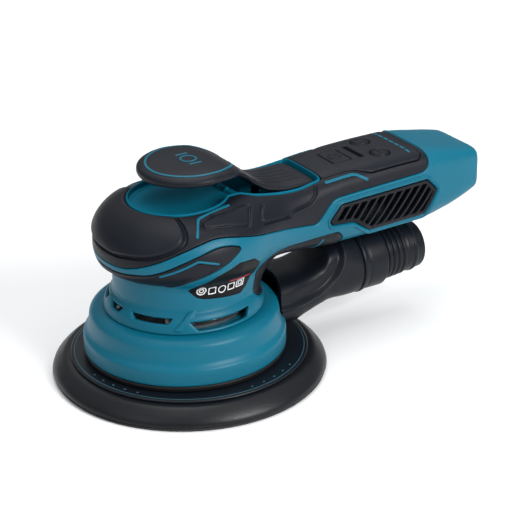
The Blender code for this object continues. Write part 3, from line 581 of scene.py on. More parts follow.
def shell(patch, field, lip=0.6, wall=WALL, relief=None, relief_levels=()):
    """A closed shell of the patch inside the field, with rounded edges and a relief pressed in."""
    patch = patch.copy().near(field, 3.0)
    patch.cut_out(field, [share * lip for share in LIP_ROWS])
    for relief_field, levels in relief_levels:
        patch.split(relief_field, levels, true=False)
    distance = np.maximum(patch.value(field, True), 0)
    depth = lip_depth(distance, lip)
    if relief:
        depth = depth + relief(patch.places()) * ramp(distance, 0, 2 * lip)
    return closed(patch.places(depth), patch.places(-wall), patch.faces)


def inlay(patch, field, upper, lower, snap=0.01, margin=1.0):
    """A thin closed piece of the patch inside the field, between two offsets from its surface."""
    here = patch.copy().near(field, margin).cut_out(field, (), False, snap)
    return closed(here.places(upper), here.places(lower), here.faces)


def level(height):
    """A relief of the same height everywhere."""
    return lambda p: np.full(len(p), height)


def body_patch(start, end, step=1.0, low=-90.0, high=270.0, turns=240):
    us = np.linspace(start, end, max(2, int(round((end - start) / step)) + 1))
    vs = np.radians(np.linspace(low, high, turns + 1))
    return Patch(body, us, vs)


# ---- materials

def new_material(name):
    made = bpy.data.materials.new(name)
    made.use_nodes = True
    tree = made.node_tree
    return made, tree, tree.nodes["Principled BSDF"]


def add_node(tree, kind, **values):
    node = tree.nodes.new(kind)
    for key, value in values.items():
        if key in node.inputs:
            node.inputs[key].default_value = value
        else:
            setattr(node, key, value)
    return node


def moulded(name, colour, roughness, grain, grain_size, tint=0.08, metallic=0.0, rough_spread=0.06,
            specular=0.5):
    """A surface with fine grain, slow colour drift and uneven gloss. Grain size is in millimetres."""
    made, tree, shader = new_material(name)
    link = tree.links.new
    place = add_node(tree, "ShaderNodeTexCoord").outputs["Object"]
    drift = add_node(tree, "ShaderNodeTexNoise", Scale=38.0, Detail=3.0, Roughness=0.55)
    link(place, drift.inputs["Vector"])
    mix = add_node(tree, "ShaderNodeMix", data_type="RGBA")
    mix.inputs["A"].default_value = (*[c * (1 - tint) for c in colour], 1)
    mix.inputs["B"].default_value = (*[min(1.0, c * (1 + tint)) for c in colour], 1)
    link(drift.outputs["Fac"], mix.inputs["Factor"])
    link(mix.outputs["Result"], shader.inputs["Base Color"])
    fine = add_node(tree, "ShaderNodeTexNoise", Scale=1.0 / (grain_size * MM), Detail=2.0, Roughness=0.6)
    link(place, fine.inputs["Vector"])
    gloss = add_node(tree, "ShaderNodeMapRange")
    gloss.inputs["To Min"].default_value = roughness - rough_spread
    gloss.inputs["To Max"].default_value = roughness + rough_spread
    link(fine.outputs["Fac"], gloss.inputs["Value"])
    link(gloss.outputs["Result"], shader.inputs["Roughness"])
    bump = add_node(tree, "ShaderNodeBump", Strength=grain, Distance=0.0001)
    link(fine.outputs["Fac"], bump.inputs["Height"])
    link(bump.outputs["Normal"], shader.inputs["Normal"])
    shader.inputs["Metallic"].default_value = metallic
    shader.inputs["Specular IOR Level"].default_value = specular
    return made


TEAL = (0.0007, 0.112, 0.176)
# name, colour, roughness, grain, grain size, and what differs from the defaults of moulded
LOOKS = {
    "teal_plastic": ("teal_moulding", TEAL, 0.4, 0.22, 0.35, {"tint": 0.06, "specular": 0.22}),
    "teal_matt": ("teal_moulding_matt", TEAL, 0.62, 0.3, 0.35, {"tint": 0.06, "specular": 0.06}),
    "black_grip": ("soft_black_grip", (0.0052, 0.0068, 0.0112), 0.43, 0.75, 0.45,
                   {"rough_spread": 0.1, "specular": 0.2}),
    "black_plastic": ("gloss_black", (0.005, 0.0065, 0.010), 0.38, 0.2, 0.5, {"specular": 0.2}),
    "panel_plastic": ("panel_black", (0.0065, 0.0082, 0.0125), 0.46, 0.5, 0.4, {"specular": 0.18}),
    "label_black": ("label_film", (0.004, 0.004, 0.005), 0.4, 0.08, 0.9, {"specular": 0.12}),
    "label_white": ("white_ink", (0.72, 0.72, 0.73), 0.5, 0.05, 0.9, {"tint": 0.02}),
    "label_red": ("red_ink", (0.42, 0.02, 0.02), 0.5, 0.05, 0.9, {"tint": 0.04}),
    "pad_foam": ("pad_foam_skin", (0.0055, 0.006, 0.008), 0.36, 0.9, 0.8,
                 {"rough_spread": 0.1, "tint": 0.18, "specular": 0.28}),
    "pad_plate": ("pad_top_film", (0.004, 0.007, 0.011), 0.36, 0.12, 0.7, {"specular": 0.25}),
    # pale blue for the plate's printed dashes and for the ring near its edge, which is a painted highlight
    "plate_ink": ("pale_blue_ink", (0.03, 0.09, 0.12), 0.5, 0.05, 0.9, {"tint": 0.04}),
    "loop_fabric": ("hook_fabric", (0.03, 0.03, 0.033), 0.92, 1.0, 0.9, {"tint": 0.35}),
    "seal_rubber": ("seal_rubber_skin", (0.006, 0.006, 0.007), 0.5, 0.4, 0.6, {"specular": 0.3}),
    "steel": ("turned_steel", (0.56, 0.57, 0.58), 0.28, 0.1, 0.3, {"metallic": 1.0}),
    "bearing_steel": ("ground_steel", (0.62, 0.63, 0.64), 0.2, 0.05, 0.3, {"metallic": 1.0}),
    "cast_aluminium": ("cast_metal", (0.48, 0.49, 0.5), 0.45, 0.6, 0.6, {"metallic": 1.0}),
    "laminated_steel": ("stacked_steel", (0.25, 0.26, 0.28), 0.5, 0.4, 0.5, {"metallic": 1.0}),
    "copper": ("enamelled_copper", (0.72, 0.3, 0.12), 0.35, 0.8, 0.7, {"metallic": 1.0}),
    "magnet": ("plated_magnet", (0.12, 0.12, 0.13), 0.35, 0.1, 0.4, {"metallic": 1.0}),
    "circuit_board": ("board_laminate", (0.01, 0.09, 0.04), 0.5, 0.2, 0.7, {"tint": 0.2}),
    "capacitor_sleeve": ("sleeve_film", (0.01, 0.02, 0.06), 0.4, 0.1, 0.8, {}),
    "fan_plastic": ("pale_fan", (0.82, 0.83, 0.84), 0.4, 0.2, 0.5, {}),
    "screw_steel": ("blackened_steel", (0.1, 0.1, 0.11), 0.35, 0.2, 0.4, {"metallic": 1.0}),
    "light_lens": ("smoked_lens", (0.001, 0.001, 0.0015), 0.5, 0.03, 0.8, {"specular": 0.03}),
}
made_materials = {}


def material(slot):
    """The slot's material, made the first time that it is asked for."""
    if slot not in made_materials:
        *values, others = LOOKS[slot]
        made_materials[slot] = moulded(*values, **others)
    return made_materials[slot]


# ---- the head and handle

def tray_outline():
    """Top view of the recess under the paddle: a round dish, and a pocket behind it for the saddle."""
    dish = [(DISH_X + DISH_RADIUS * math.cos(a), DISH_RADIUS * math.sin(a))
            for a in np.radians(np.linspace(44, 316, 40))]
    side = [(26, -17.5), (34, -19.2), (62, -19.8), (76, -18.6), (77.2, -16)]
    rear = [(x, -y) for x, y in reversed(side)]
    return dish + rounded(side + rear, 2.5, closed=False)


def plate_outline():
    """The plate's left half, rounded between its ends, and the right half as its mirror image."""
    half = rounded(PLATE, 1.6, closed=False)
    return half + [(x, -y) for x, y in reversed(half)]


COVER = through(COVER_EDGE) + rounded([COVER_EDGE[-1]] + COVER_REAR, 4.0, closed=False)[1:]
BAND = through(BAND_TOP) + rounded([BAND_TOP[-1]] + BAND_LOW, 2.0, closed=False)[1:]
PANEL_ROUTES = [rounded(PANEL_A, 1.0) + rounded(PANEL_A, 1.0)[:1], rounded(PANEL_B, 1.0, closed=False)]
cover_field = on_side(COVER)
band_field = on_side(BAND)
grip_field = on_side(rounded(GRIP, 2.0))
grille_field = on_side(rounded(GRILLE, 1.2))
bumper_field = on_side(through(BUMPER[:9]) + BUMPER[9:])
tray_field = on_top(tray_outline())
plate_field = above(88, on_top(rounded(plate_outline(), 1.2)))
power_field = on_top(rounded(POWER_SEAT, 1.2))
light_field = on_top(rounded(LIGHT_SEAT, 0.6))


def housing_field(p):
    taken = np.maximum.reduce([cover_field(p), band_field(p), grip_field(p), grille_field(p)])
    return -taken - GAP / 2


def housing_relief(p):
    around = -grille_field(p)
    frame_edge = 1.1 * (1 - ramp(around, 1.7, 2.3))
    under_cover = 0.5 * (1 - ramp(-cover_field(p), 1.2, 2.0)) * ramp(p[:, 0], 60, 72)
    return frame_edge + under_cover


def vent_field(p):
    """Positive inside the vent slots round the foot, which have slanted ends."""
    azimuth = np.degrees(np.arctan2(p[:, 1], p[:, 0]))
    best = np.full(len(p), -30.0)
    for middle, half, low, high in VENTS:
        away = np.abs((azimuth - middle + 180) % 360 - 180)
        along = np.radians(half - away) * FOOT_RADIUS - (high - p[:, 2]) * 0.9
        best = np.maximum(best, np.minimum.reduce([along, high - p[:, 2], p[:, 2] - low]))
    return best


def rib_field(p):
    """Positive on the slanted bosses that part the narrow vents from the wide ones."""
    azimuth = np.abs(np.degrees(np.arctan2(p[:, 1], p[:, 0])))
    middle = 121.5 - (p[:, 2] - 45) * 1.35
    half = 1.9 - np.radians(np.abs(azimuth - middle)) * FOOT_RADIUS
    return np.minimum.reduce([half, p[:, 2] - 42.5, 51.5 - p[:, 2]])


def neck_patch(margin=0.8):
    """The neck without what lies inside the body."""
    def outside(p):
        return margin - body_depth(p)

    us = np.concatenate([np.linspace(40.9, 52, 20), np.linspace(52, 80, 34)[1:]])
    patch = Patch(neck, us, np.radians(np.linspace(-180, 180, 281)))
    x, y, z, side = neck_shape(patch.at)
    merged = np.abs(y) - side + NECK_BLEND
    patch.faces = patch.faces[merged[patch.faces].max(1) > 0]
    return patch.drop_unused().cut_out(outside, (), False)


def neck_field(p):
    return np.minimum(-vent_field(p), -grip_field(p) - GAP / 2)


def neck_relief(p):
    """A ledge round the foot, and the bosses."""
    ledge = 0.4 * (1 - ramp(p[:, 2], 51.4, 52.6))
    return ledge + 0.9 * ramp(rib_field(p), -0.4, 0.5)


def build_housing():
    """The teal shell, and the soft grip that covers the inner bend between the neck and the handle."""
    skin = shell(body_patch(NOSE, END_FACE + END_SPAN, 1.05), housing_field, relief=housing_relief,
                 relief_levels=[(grille_field, [-1.7, -2.1, -2.5]), (cover_field, [-1.2, -1.6, -2.0])])
    free = neck_patch()
    stem = shell(free, neck_field, 0.4, relief=neck_relief, relief_levels=[(rib_field, [-0.4, 0.5])])
    add_piece("housing_shell", *joined(skin, stem), "teal_plastic", replaces="main_housing")

    tail = shell(free, less_gap(grip_field), 0.5)
    under = shell(body_patch(24, 95, 0.9), less_gap(grip_field), relief=grip_relief)
    add_piece("under_grip_skin", *joined(under, tail), "black_grip", replaces="under_grip")
    stripe = body_patch(62, 76, 0.4, low=180, high=360, turns=200)
    add_piece("grip_inlay", *inlay(stripe, grip_stripe, 0.75, -0.5), "teal_plastic")


def grip_relief(p):
    """A step along the grip's edge."""
    return 0.5 * ramp(grip_field(p), 1.0, 1.8)


def grip_stripe(p):
    """A blue line across the under-grip that curves forward below."""
    line = 0.6 - np.abs(p[:, 0] - 72.4 + 0.5 * (64 - p[:, 2])) / math.hypot(1, 0.5)
    return np.minimum(line, grip_field(p) - 1.6)


def label_marks(p):
    """Plain outlined shapes and a dash."""
    x, z = p[:, 0], p[:, 2]
    best = np.full(len(p), -5.0)
    for kind, middle, height, size in LABEL_MARKS:
        along, up = np.abs(x - middle), np.abs(z - height)
        reach = np.hypot(along, up) if kind == "ring" else np.maximum(along, up)
        best = np.maximum(best, 0.26 - np.abs(reach - size))
    return best


def label_rule(p):
    """A thin line above the shapes."""
    return np.minimum(0.38 - np.abs(p[:, 2] - 66.8 + 0.06 * (p[:, 0] - 4)), 7.2 - np.abs(p[:, 0] - 11.6))


def build_label():
    """A plate where the maker's data would be, with plain shapes for marks."""
    outline_field = on_side(rounded(LABEL, 0.8))

    def left(p):
        return np.where(p[:, 1] < 0, outline_field(p), -20)

    fine = Patch(neck, np.linspace(57, 70, 66), np.radians(np.linspace(-110, -55, 150)))
    add_piece("label_shapes", *inlay(fine, label_marks, 0.47, 0.2, 0.005), "label_white")
    add_piece("label_line", *inlay(fine, label_rule, 0.47, 0.2, 0.005), "label_red")
    low = shell(neck_patch(0.4), left, 0.25, wall=0.5, relief=level(0.35))
    beside_neck = body_patch(-20, 28, 0.8, low=180, high=270, turns=90)
    high = shell(beside_neck, left, 0.25, wall=0.5, relief=level(0.35))
    add_piece("label_plate", *joined(low, high), "label_black", replaces="rating_plate")


def build_band():
    """The black band under the teal stripe, with a step along it."""
    step_field = on_side(rounded(BAND_STEP, 1.5, closed=False) + [(12, 40), (-60, 40)])

    def relief(p):
        return -0.8 * ramp(step_field(p), -0.5, 0.6)

    skin = shell(body_patch(NOSE, 14, 0.9), less_gap(band_field), 0.7, relief=relief,
                 relief_levels=[(step_field, [-0.5, 0.05, 0.6])])
    add_piece("lower_band_skin", *skin, "black_grip", replaces="lower_band")


def cover_relief(p):
    """The raised bumper in front with a groove round it, and the side panels' grooves."""
    left = mirrored(p)
    bumper = bumper_field(p)
    height = 1.3 * ramp(bumper, -0.1, 1.3)
    height = height - 1.1 * (1 - ramp(np.abs(bumper + 0.7), 0.2, 0.9))
    for route in PANEL_ROUTES:
        height = height - 1.2 * (1 - ramp(line_distance(left, route), 0.35, 1.2))
    return height


def build_head_cover():
    """The soft cover over the head and handle, with openings for the dish and the control plate."""
    opening = above(85, tray_field)

    def field(p):
        return np.minimum.reduce([cover_field(p), -opening(p), -plate_field(p)]) - GAP / 2

    levels = [(bumper_field, [-1.4, -1.0, -0.6, -0.1, 0.6, 1.3])]
    levels += [(lambda p, r=route: -line_distance(mirrored(p), r), [-1.2, -0.75, -0.35])
               for route in PANEL_ROUTES]
    skin = shell(body_patch(NOSE, 147, 0.95, low=-30, high=210, turns=230), field, relief=cover_relief,
                 relief_levels=levels)
    add_piece("head_cover", *skin, "black_grip", replaces="head_grip")


def speed_field(side):
    return lambda p: SPEED_RADIUS - np.hypot(p[:, 0] - SPEED_X, p[:, 1] - side * SPEED_Y)


def power_mark(p):
    """An open ring with a bar through its gap."""
    x, y = p[:, 0] - 97.7, p[:, 1]
    ring = 0.42 - np.abs(np.hypot(x, y) - 3.4)
    ring = np.where((x > 0) & (np.abs(y) < 1.3), -2, ring)
    bar = np.minimum(0.42 - np.abs(y), 2.6 - np.abs(x - 2.6))
    return np.maximum(ring, bar)


def speed_mark(side):
    """A plus sign on the button that raises the speed and a minus sign on the other, each in a ring."""
    def field(p):
        x, y = p[:, 0] - SPEED_X, p[:, 1] - side * SPEED_Y
        bar = np.minimum(0.4 - np.abs(x), 2.3 - np.abs(y))
        post = np.minimum(0.4 - np.abs(y), 2.3 - np.abs(x)) if side > 0 else bar
        return np.maximum.reduce([bar, post, 0.3 - np.abs(np.hypot(x, y) - 4.1)])
    return field


def dash_field(p):
    """A row of plain dashes near the plate's rear edge."""
    pitch = 5.2
    away = np.abs((p[:, 1] + pitch / 2) % pitch - pitch / 2)
    inside = np.minimum.reduce([0.75 - np.abs(p[:, 0] - 136), 1.9 - away, 18.2 - np.abs(p[:, 1])])
    return np.where(p[:, 2] > 90, inside, -5)


def build_controls():
    """The control plate, its three keys, the light between them and the row of dashes."""
    seats = [power_field, light_field, speed_field(1), speed_field(-1)]

    def field(p):
        taken = np.maximum.reduce([seat(p) for seat in seats])
        return np.minimum(plate_field(p), -taken) - GAP / 2

    skin = shell(body_patch(74, 147, 0.8, low=30, high=150, turns=150), field, 0.4, relief=level(0.45))
    add_piece("control_plate", *skin, "panel_plastic", replaces="control_panel")
    dashes = body_patch(133, 139, 0.3, low=50, high=130, turns=260)
    add_piece("plate_dashes", *inlay(dashes, dash_field, 0.58, 0.2, 0.005), "teal_plastic")

    fine = body_patch(88, 130, 0.35, low=50, high=130, turns=230)
    for name, seat, mark, node in (("power_key", power_field, power_mark, "power_button"),
                                   ("speed_up_key", speed_field(1), speed_mark(1), "speed_up_button"),
                                   ("speed_down_key", speed_field(-1), speed_mark(-1), "speed_down_button")):
        def key_relief(p, mark=mark):
            return 0.45 + 0.55 * ramp(mark(p), -0.25, 0.1)

        key = shell(fine, lambda p, s=seat: s(p) - GAP / 4, 0.35, wall=2.2, relief=key_relief,
                    relief_levels=[(mark, [-0.25, 0.1])])
        add_piece(name, *key, "panel_plastic", ride=node, replaces=node)
    lens = shell(fine, lambda p: light_field(p) - GAP / 4, 0.2, wall=1.6, relief=level(-0.35))
    add_piece("light_bar", *lens, "light_lens", replaces="status_light")


def grille_face(p):
    """Positive on the grille's frame and ribs, between its slanted slots."""
    x, z = p[:, 0], p[:, 2]
    phase = (x - SLOT_SLANT * (z - 62) - 2.6) % SLOT_PITCH - SLOT_PITCH / 2
    slot = np.minimum(1.55 - np.abs(phase) / math.hypot(1, SLOT_SLANT), grille_field(p) - 2.3)
    return np.minimum(grille_field(p) - GAP / 2, -slot)


def grille_relief(p):
    """The frame stands a little proud of the ribs inside it."""
    return 0.5 - 0.9 * ramp(grille_field(p), 1.3, 2.1)


def build_grilles():
    """The slanted-rib grille on each side of the handle."""
    for side, low, high in (("right", -40, 60), ("left", 120, 220)):
        patch = body_patch(75, 154, 0.55, low=low, high=high, turns=170)
        skin = shell(patch, grille_face, 0.45, wall=4.0, relief=grille_relief,
                     relief_levels=[(grille_field, [1.3, 1.7, 2.1])])
        add_piece("grille_face_" + side, *skin, "black_plastic", replaces="grille_" + side)


def build_stripes():
    """The blue inlays in the black covers."""
    zigzag_line = rounded(ZIGZAG, 1.5, closed=False)

    def zigzag(p):
        return line_distance(p[:, [0, 2]], zigzag_line)

    hook = beside(rounded(HOOK, 1.6, closed=False))
    top = beside(rounded(TOP_INLAY, 1.6, closed=False))
    patch = body_patch(-60, 110, 0.6, low=-30, high=210, turns=420)
    for name, away, width in (("zigzag", zigzag, 1.2), ("hook", hook, 1.7), ("top", top, 1.8)):
        def field(p, away=away, width=width):
            return width / 2 - away(p)

        near = patch.copy().near(field, 1.5).cut_out(field, [0.1, 0.35], False, 0.01)
        depth = 0.45 + lip_depth(np.maximum(field(near.places()), 0), 0.4)
        points, loops = closed(near.places(depth), near.places(-1.0), near.faces)
        add_piece(name + "_inlays", points, loops, "teal_plastic")


def tray_surface(at):
    """The rim, the dish with a low step round it, the ridge with four knobs behind it, and the pocket."""
    x, y = at.T
    inside = outline_distance(np.column_stack([x, y]), tray_outline())
    rim = body_height(x, y) + 0.45
    floor = DISH_Z + (POCKET_Z - DISH_Z) * ramp(x, 29, 41)
    wall = ramp(inside, 0.9, 1.6)
    step = 0.5 * (1 - ramp(inside, 2.8, 3.4)) * (1 - ramp(x, 22, 26))
    ridge = 1.6 * ramp(x, 23.8, 25) * (1 - ramp(x, 27, 28.2))
    knob = np.minimum(np.hypot(x - 25.4, np.abs(y) - 4), np.hypot(x - 26, np.abs(y) - 14.8))
    ridge = ridge + 1.1 * (1 - ramp(knob, 0.8, 1.9))
    return np.column_stack([x, y, rim * (1 - wall) + (floor + step + ridge) * wall])


def build_tray():
    """The teal dish and pocket under the paddle, as a thin closed plate."""
    patch = Patch(tray_surface, np.linspace(-30.5, 79, 200), np.linspace(-29, 29, 116))
    patch.near(tray_field, 2.0)
    patch.cut_out(tray_field, [0.12, 0.5, 0.9, 1.1, 1.25, 1.4, 1.6, 2.8, 3.1, 3.4], False)
    top = patch.places()
    low = top - [0, 0, 2.0]
    top[:, 2] += lip_depth(np.maximum(tray_field(top), 0), 0.5)
    low[:, 2] = np.minimum(low[:, 2], top[:, 2] - 1.6)
    add_piece("paddle_dish", *closed(top, low, patch.faces), "teal_plastic", replaces="paddle_tray",
              look="teal_matt")


# ---- the paddle

PADDLE_REAR = PADDLE[-1][0] - DISC_CENTRE


def paddle_surface(at):
    """The first coordinate runs along X, round the disc's edge in front and over the rear end face."""
    u, turn = at.T
    x = np.where(u < 0, DISC_CENTRE + DISC_RADIUS * np.sin(np.maximum(u, PADDLE_TIP) / DISC_RADIUS),
                 DISC_CENTRE + np.minimum(u, PADDLE_REAR))
    round_front = np.sqrt(np.maximum(DISC_RADIUS ** 2 - (x - DISC_CENTRE) ** 2, 0))
    width = np.where(u < 0, round_front, paddle_width(x))
    top = paddle_top(x)
    bottom = paddle_bottom(x)
    waist = bottom + 0.45 * (top - bottom)
    y, z = superellipse(width, top, waist, bottom, 3.2, 2.2, turn)
    inward = np.clip((u - PADDLE_REAR) / PADDLE_END, 0, 1)
    crown = 0.8 * np.sqrt(inward * (2 - inward))
    return np.column_stack([x + crown, y * (1 - inward), waist + (z - waist) * (1 - inward)])


def groove_distance(p):
    """How far points lie sideways from the nearest of the saddle's grooves."""
    return np.abs((p[:, 1] + GROOVE_PITCH / 2) % GROOVE_PITCH - GROOVE_PITCH / 2)


def paddle_marks(p):
    """A ring near the disc's edge, and a small plain ring and two bars in its middle."""
    x, y = p[:, 0] - DISC_CENTRE, p[:, 1]
    reach = np.hypot(x, y)
    bars = np.minimum(0.45 - np.abs(np.abs(y) - 7.4), 3.6 - np.abs(x))
    marks = np.maximum.reduce([0.58 - np.abs(reach - 22.6), 0.45 - np.abs(reach - 4.2), bars])
    return np.where((p[:, 2] > paddle_bottom(p[:, 0]) + 4) & (p[:, 0] < 27), marks, -5)


def build_paddle():
    """The lever in one piece, from its disc to its grooved saddle, and the marks on the disc."""
    us = np.concatenate([np.linspace(PADDLE_TIP, 0, 50), np.linspace(0, PADDLE_REAR, 110)[1:],
                         PADDLE_REAR + PADDLE_END * np.array([0.03, 0.1, 0.25, 0.5, 0.75, 1.0])])
    vs = np.radians(np.concatenate([np.linspace(-90, 20, 44), np.linspace(20, 160, 200)[1:],
                                    np.linspace(160, 270, 44)[1:]]))
    patch = Patch(paddle_surface, us, vs)

    def grooves(p):
        x, y, z = p.T
        lengthwise = ramp(x, 36, 42) * (1 - ramp(x, 68, 72)) * (z > paddle_top(x) - 3)
        return -0.45 * (1 - ramp(groove_distance(p), 0.2, 0.9)) * lengthwise * (np.abs(y) < 13)

    patch.split(lambda p: -groove_distance(p) - 100.0 * (p[:, 0] < 34), [-0.9, -0.5, -0.2], true=False)
    points = patch.places(grooves(patch.places()))
    first, loops = welded(points, patch.faces)
    add_piece("paddle_lever", points[first], loops, "black_grip", ride="paddle", replaces="paddle", sharp=50)

    fine_us = np.linspace(PADDLE_TIP, 24, 190)
    fine_vs = np.radians(np.concatenate([np.linspace(-30, 60, 70), np.linspace(60, 120, 170)[1:],
                                         np.linspace(120, 210, 70)[1:]]))
    line = Patch(paddle_surface, fine_us, fine_vs)
    add_piece("paddle_ring", *inlay(line, paddle_marks, 0.22, -0.4, 0.005, 2.0), "teal_plastic", "paddle")


# ---- shroud, seal, duct and nozzle

def revolved(profile, sides=180, centre=(0, 0), along="Z"):
    """A closed ring from a closed profile of (radius, height) points, about an axis along Z or X."""
    points = []
    for a in np.radians(np.arange(sides) * 360 / sides):
        for r, h in profile:
            across = (centre[0] + r * math.cos(a), centre[1] + r * math.sin(a))
            points.append((*across, h) if along == "Z" else (h, *across))
    n = len(profile)
    loops = []
    for i in range(sides):
        j = (i + 1) % sides
        for k in range(n):
            m = (k + 1) % n
            loops.append([i * n + k, i * n + m, j * n + m, j * n + k])
    area = sum(a[0] * b[1] - b[0] * a[1] for a, b in zip(profile, profile[1:] + profile[:1]))
    if (area > 0) == (along == "Z"):
        loops = [loop[::-1] for loop in loops]
    return np.array(points), loops


def build_shroud():
    """The stepped dust shroud, and the rubber brake seal that hangs from it."""
    outer = through([(43.4, 40.6), (45.4, 40.5), (47.6, 39.9), (49.4, 38.8), (50.7, 37.4), (51.3, 35.8),
                     (51.6, 33.6), (52.0, 30.6), (52.6, 28.2), (53.6, 26.6), (54.6, 25.4), (55, 23.8),
                     (55, 20), (55, 17.1), (54.6, 16.6)])
    inner = [(52.6, 16.6), (52.4, 25), (51.2, 31), (48.6, 35.2), (45.6, 37.2), (36, 37.9), (35.4, 40.4)]
    add_piece("dust_shroud", *revolved(outer + inner), "teal_plastic", replaces="shroud", sharp=40)
    seal = through([(49.4, 21), (51.9, 21), (52, 17), (54, 16.4), (54.9, 15.8), (54.6, 13.9), (54, 13.4),
                    (50.6, 13.4), (50, 14.5), (49.4, 20)])
    add_piece("brake_ring", *revolved(seal), "seal_rubber", replaces="brake_seal", sharp=40)


def duct_surface(at):
    x, turn = at.T
    roundness = 2.0 + 1.4 * np.clip((DUCT_END - x) / 20, 0, 1)
    top = duct_top(x)
    bottom = duct_bottom(x)
    y, z = superellipse(duct_width(x), top, (top + bottom) / 2, bottom, roundness, roundness, turn)
    return np.column_stack([x, y, z])


def build_duct():
    """The duct, whose flat web above the tube lies a little inboard of it, with a soft edge between them."""
    web = on_side(rounded(DUCT_WEB, 8))

    def outside(p):
        return np.hypot(p[:, 0], p[:, 1]) - 53.0

    def relief(p):
        return -2.2 * ramp(web(p), -0.6, 1.8) + 0.7 * (1 - ramp(np.abs(web(p) + 1.0), 0.1, 1.1))

    patch = Patch(duct_surface, np.linspace(46, DUCT_END, 64), np.radians(np.linspace(-90, 270, 161)))
    skin = shell(patch, outside, 0.3, wall=4.6, relief=relief,
                 relief_levels=[(web, [-2.1, -1.0, -0.6, 0.1, 0.9, 1.8])])
    add_piece("duct_shell", *skin, "black_plastic", replaces="dust_duct")


def build_outlet():
    """The collar at the duct's end, and the ribbed hose nozzle that turns in it."""
    axis = (0, DUCT_Z)
    collar = [(14.7, 106.9), (18.0, 106.9), (18.5, 107.4), (18.5, 109.3), (17.6, 110), (17.6, 112),
              (17.8, 112.4), (17.8, 123), (17.2, 123.8), (14.7, 123.8)]
    add_piece("outlet_collar", *revolved(rounded(collar, 0.5), 128, axis, "X"), "black_plastic",
              replaces="duct_collar", sharp=40)
    nozzle = [(14.1, 108), (14.1, 124.6), (15.5, 124.6)]
    for k, x in enumerate((126, 129.6, 133.2, 136.8)):
        crest = 15.9 - 0.25 * k
        nozzle += [(crest - 1.0, x - 0.9), (crest, x), (crest, x + 1.6), (crest - 1.0, x + 2.2)]
    nozzle += [(14.4, 140.5), (14.4, 144), (14.9, 144.6), (14.9, 146), (14.1, 146.8), (13.8, 151.4),
               (13.4, 152), (11.6, 152), (11.4, 151.4), (11.4, 108)]
    add_piece("hose_nozzle", *revolved(rounded(nozzle, 0.35), 128, axis, "X"), "black_plastic", "nozzle",
              replaces="nozzle", sharp=40)


# ---- the pad

def pad_plane(at):
    """The plane of the pad's face, by the distance and the turn about the pad's own axis."""
    radius, turn = at.T
    return np.column_stack([ORBIT_OFFSET + radius * np.cos(turn), -radius * np.sin(turn), np.zeros(len(at))])


def hole_field(p):
    """Positive outside the dust holes."""
    spots = [(OUTER_HOLES, a) for a in np.arange(8) * 45 + 22.5]
    spots += [(INNER_HOLES, a) for a in np.arange(6) * 60.0]
    away = [np.hypot(p[:, 0] - ORBIT_OFFSET - r * math.cos(math.radians(a)),
                     p[:, 1] - r * math.sin(math.radians(a))) for r, a in spots]
    return np.min(away, axis=0) - HOLE_RADIUS


def pad_layer(name, radius, upper, lower, slot, replaces):
    """A disc with the dust holes through it, from its upper and lower profiles."""
    us = np.concatenate([np.linspace(0.5, radius - 8, 44), np.linspace(radius - 8, radius, 12)[1:]])
    patch = Patch(pad_plane, us, np.radians(np.linspace(0, 360, 217)))
    patch.cut_out(hole_field, [0.12, 0.45], False)
    flat = patch.places()
    r = np.hypot(flat[:, 0] - ORBIT_OFFSET, flat[:, 1])
    sink = lip_depth(np.maximum(hole_field(flat), 0), 0.45)
    top = flat + [0, 0, 1] * (upper(r) + sink)[:, None]
    low = flat + [0, 0, 1] * lower(r)[:, None]
    return add_piece(name, *closed(top, low, patch.faces), slot, "pad", replaces)


def plate_tick(turn):
    """A short plain dash on the backing plate's rim."""
    half = 0.011
    corners = []
    for height in (12.7, 12.86):
        for radius, side in ((59.4, -half), (59.4, half), (60.4, half), (60.4, -half)):
            x = ORBIT_OFFSET + radius * math.cos(turn + side)
            corners.append((x, radius * math.sin(turn + side), height))
    sides = [[k + 4, (k + 1) % 4 + 4, (k + 1) % 4, k] for k in range(4)]
    return np.array(corners), [[0, 1, 2, 3], [7, 6, 5, 4]] + sides


def build_pad():
    """The foam, the loop face under it, the rigid plate on it, a painted highlight ring near the plate's
    edge, and printed dashes.
    """
    slope = smooth_curve([(0, 11.2), (66.8, 11.2), (67.8, 10.9), (70.6, 8.8), (73.2, 6.2), (74.6, 4.2),
                          (75, 2.9)])
    under = smooth_curve([(0, 1.9), (73.8, 1.9), (74.6, 2.1), (75, 2.8)])
    foam = pad_layer("foam_body", PAD_RADIUS, slope, under, "pad_foam", "pad_foam")
    face_top = smooth_curve([(0, 1.6), (73.6, 1.6), (74.2, 1.4), (74.4, 0.9)])
    face_low = smooth_curve([(0, 0.0), (73.8, 0.0), (74.2, 0.2), (74.4, 0.8)])
    pad_layer("hook_face", PAD_RADIUS - 0.6, face_top, face_low, "loop_fabric", "loop_face")
    plate_top = smooth_curve([(0, 15.8), (18.6, 15.8), (19.4, 15.4), (21, 13.2), (22, 12.8), (64, 12.8),
                              (PLATE_RADIUS, 12.4)])
    plate_low = smooth_curve([(0, 11.5), (PLATE_RADIUS, 11.5)])
    pad_layer("backing_disc", PLATE_RADIUS, plate_top, plate_low, "pad_plate", "backing_plate")
    # a pale ring near the plate's edge: a painted highlight along the edge; the ticks beside it are printed
    # dashes
    line = revolved([(62.9, 12.86), (62.4, 12.86), (62.4, 12.7), (62.9, 12.7)], 216, (ORBIT_OFFSET, 0))
    ticks = [plate_tick(math.radians(7.5 * k + 3)) for k in range(48) if k % 12 < 5]
    add_piece("disc_marks_and_highlight", *joined(line, *ticks), "plate_ink", "pad")


# ---- what keeps its CAD shape

def finish_cad_nodes():
    """Every CAD node gets the detailed material of its slot, which is its own material's name."""
    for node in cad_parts.values():
        slot = node.data.materials[0].name.split(".")[0]
        if slot in LOOKS:
            node.data.materials.clear()
            node.data.materials.append(material(slot))


# ---- floor, light and camera

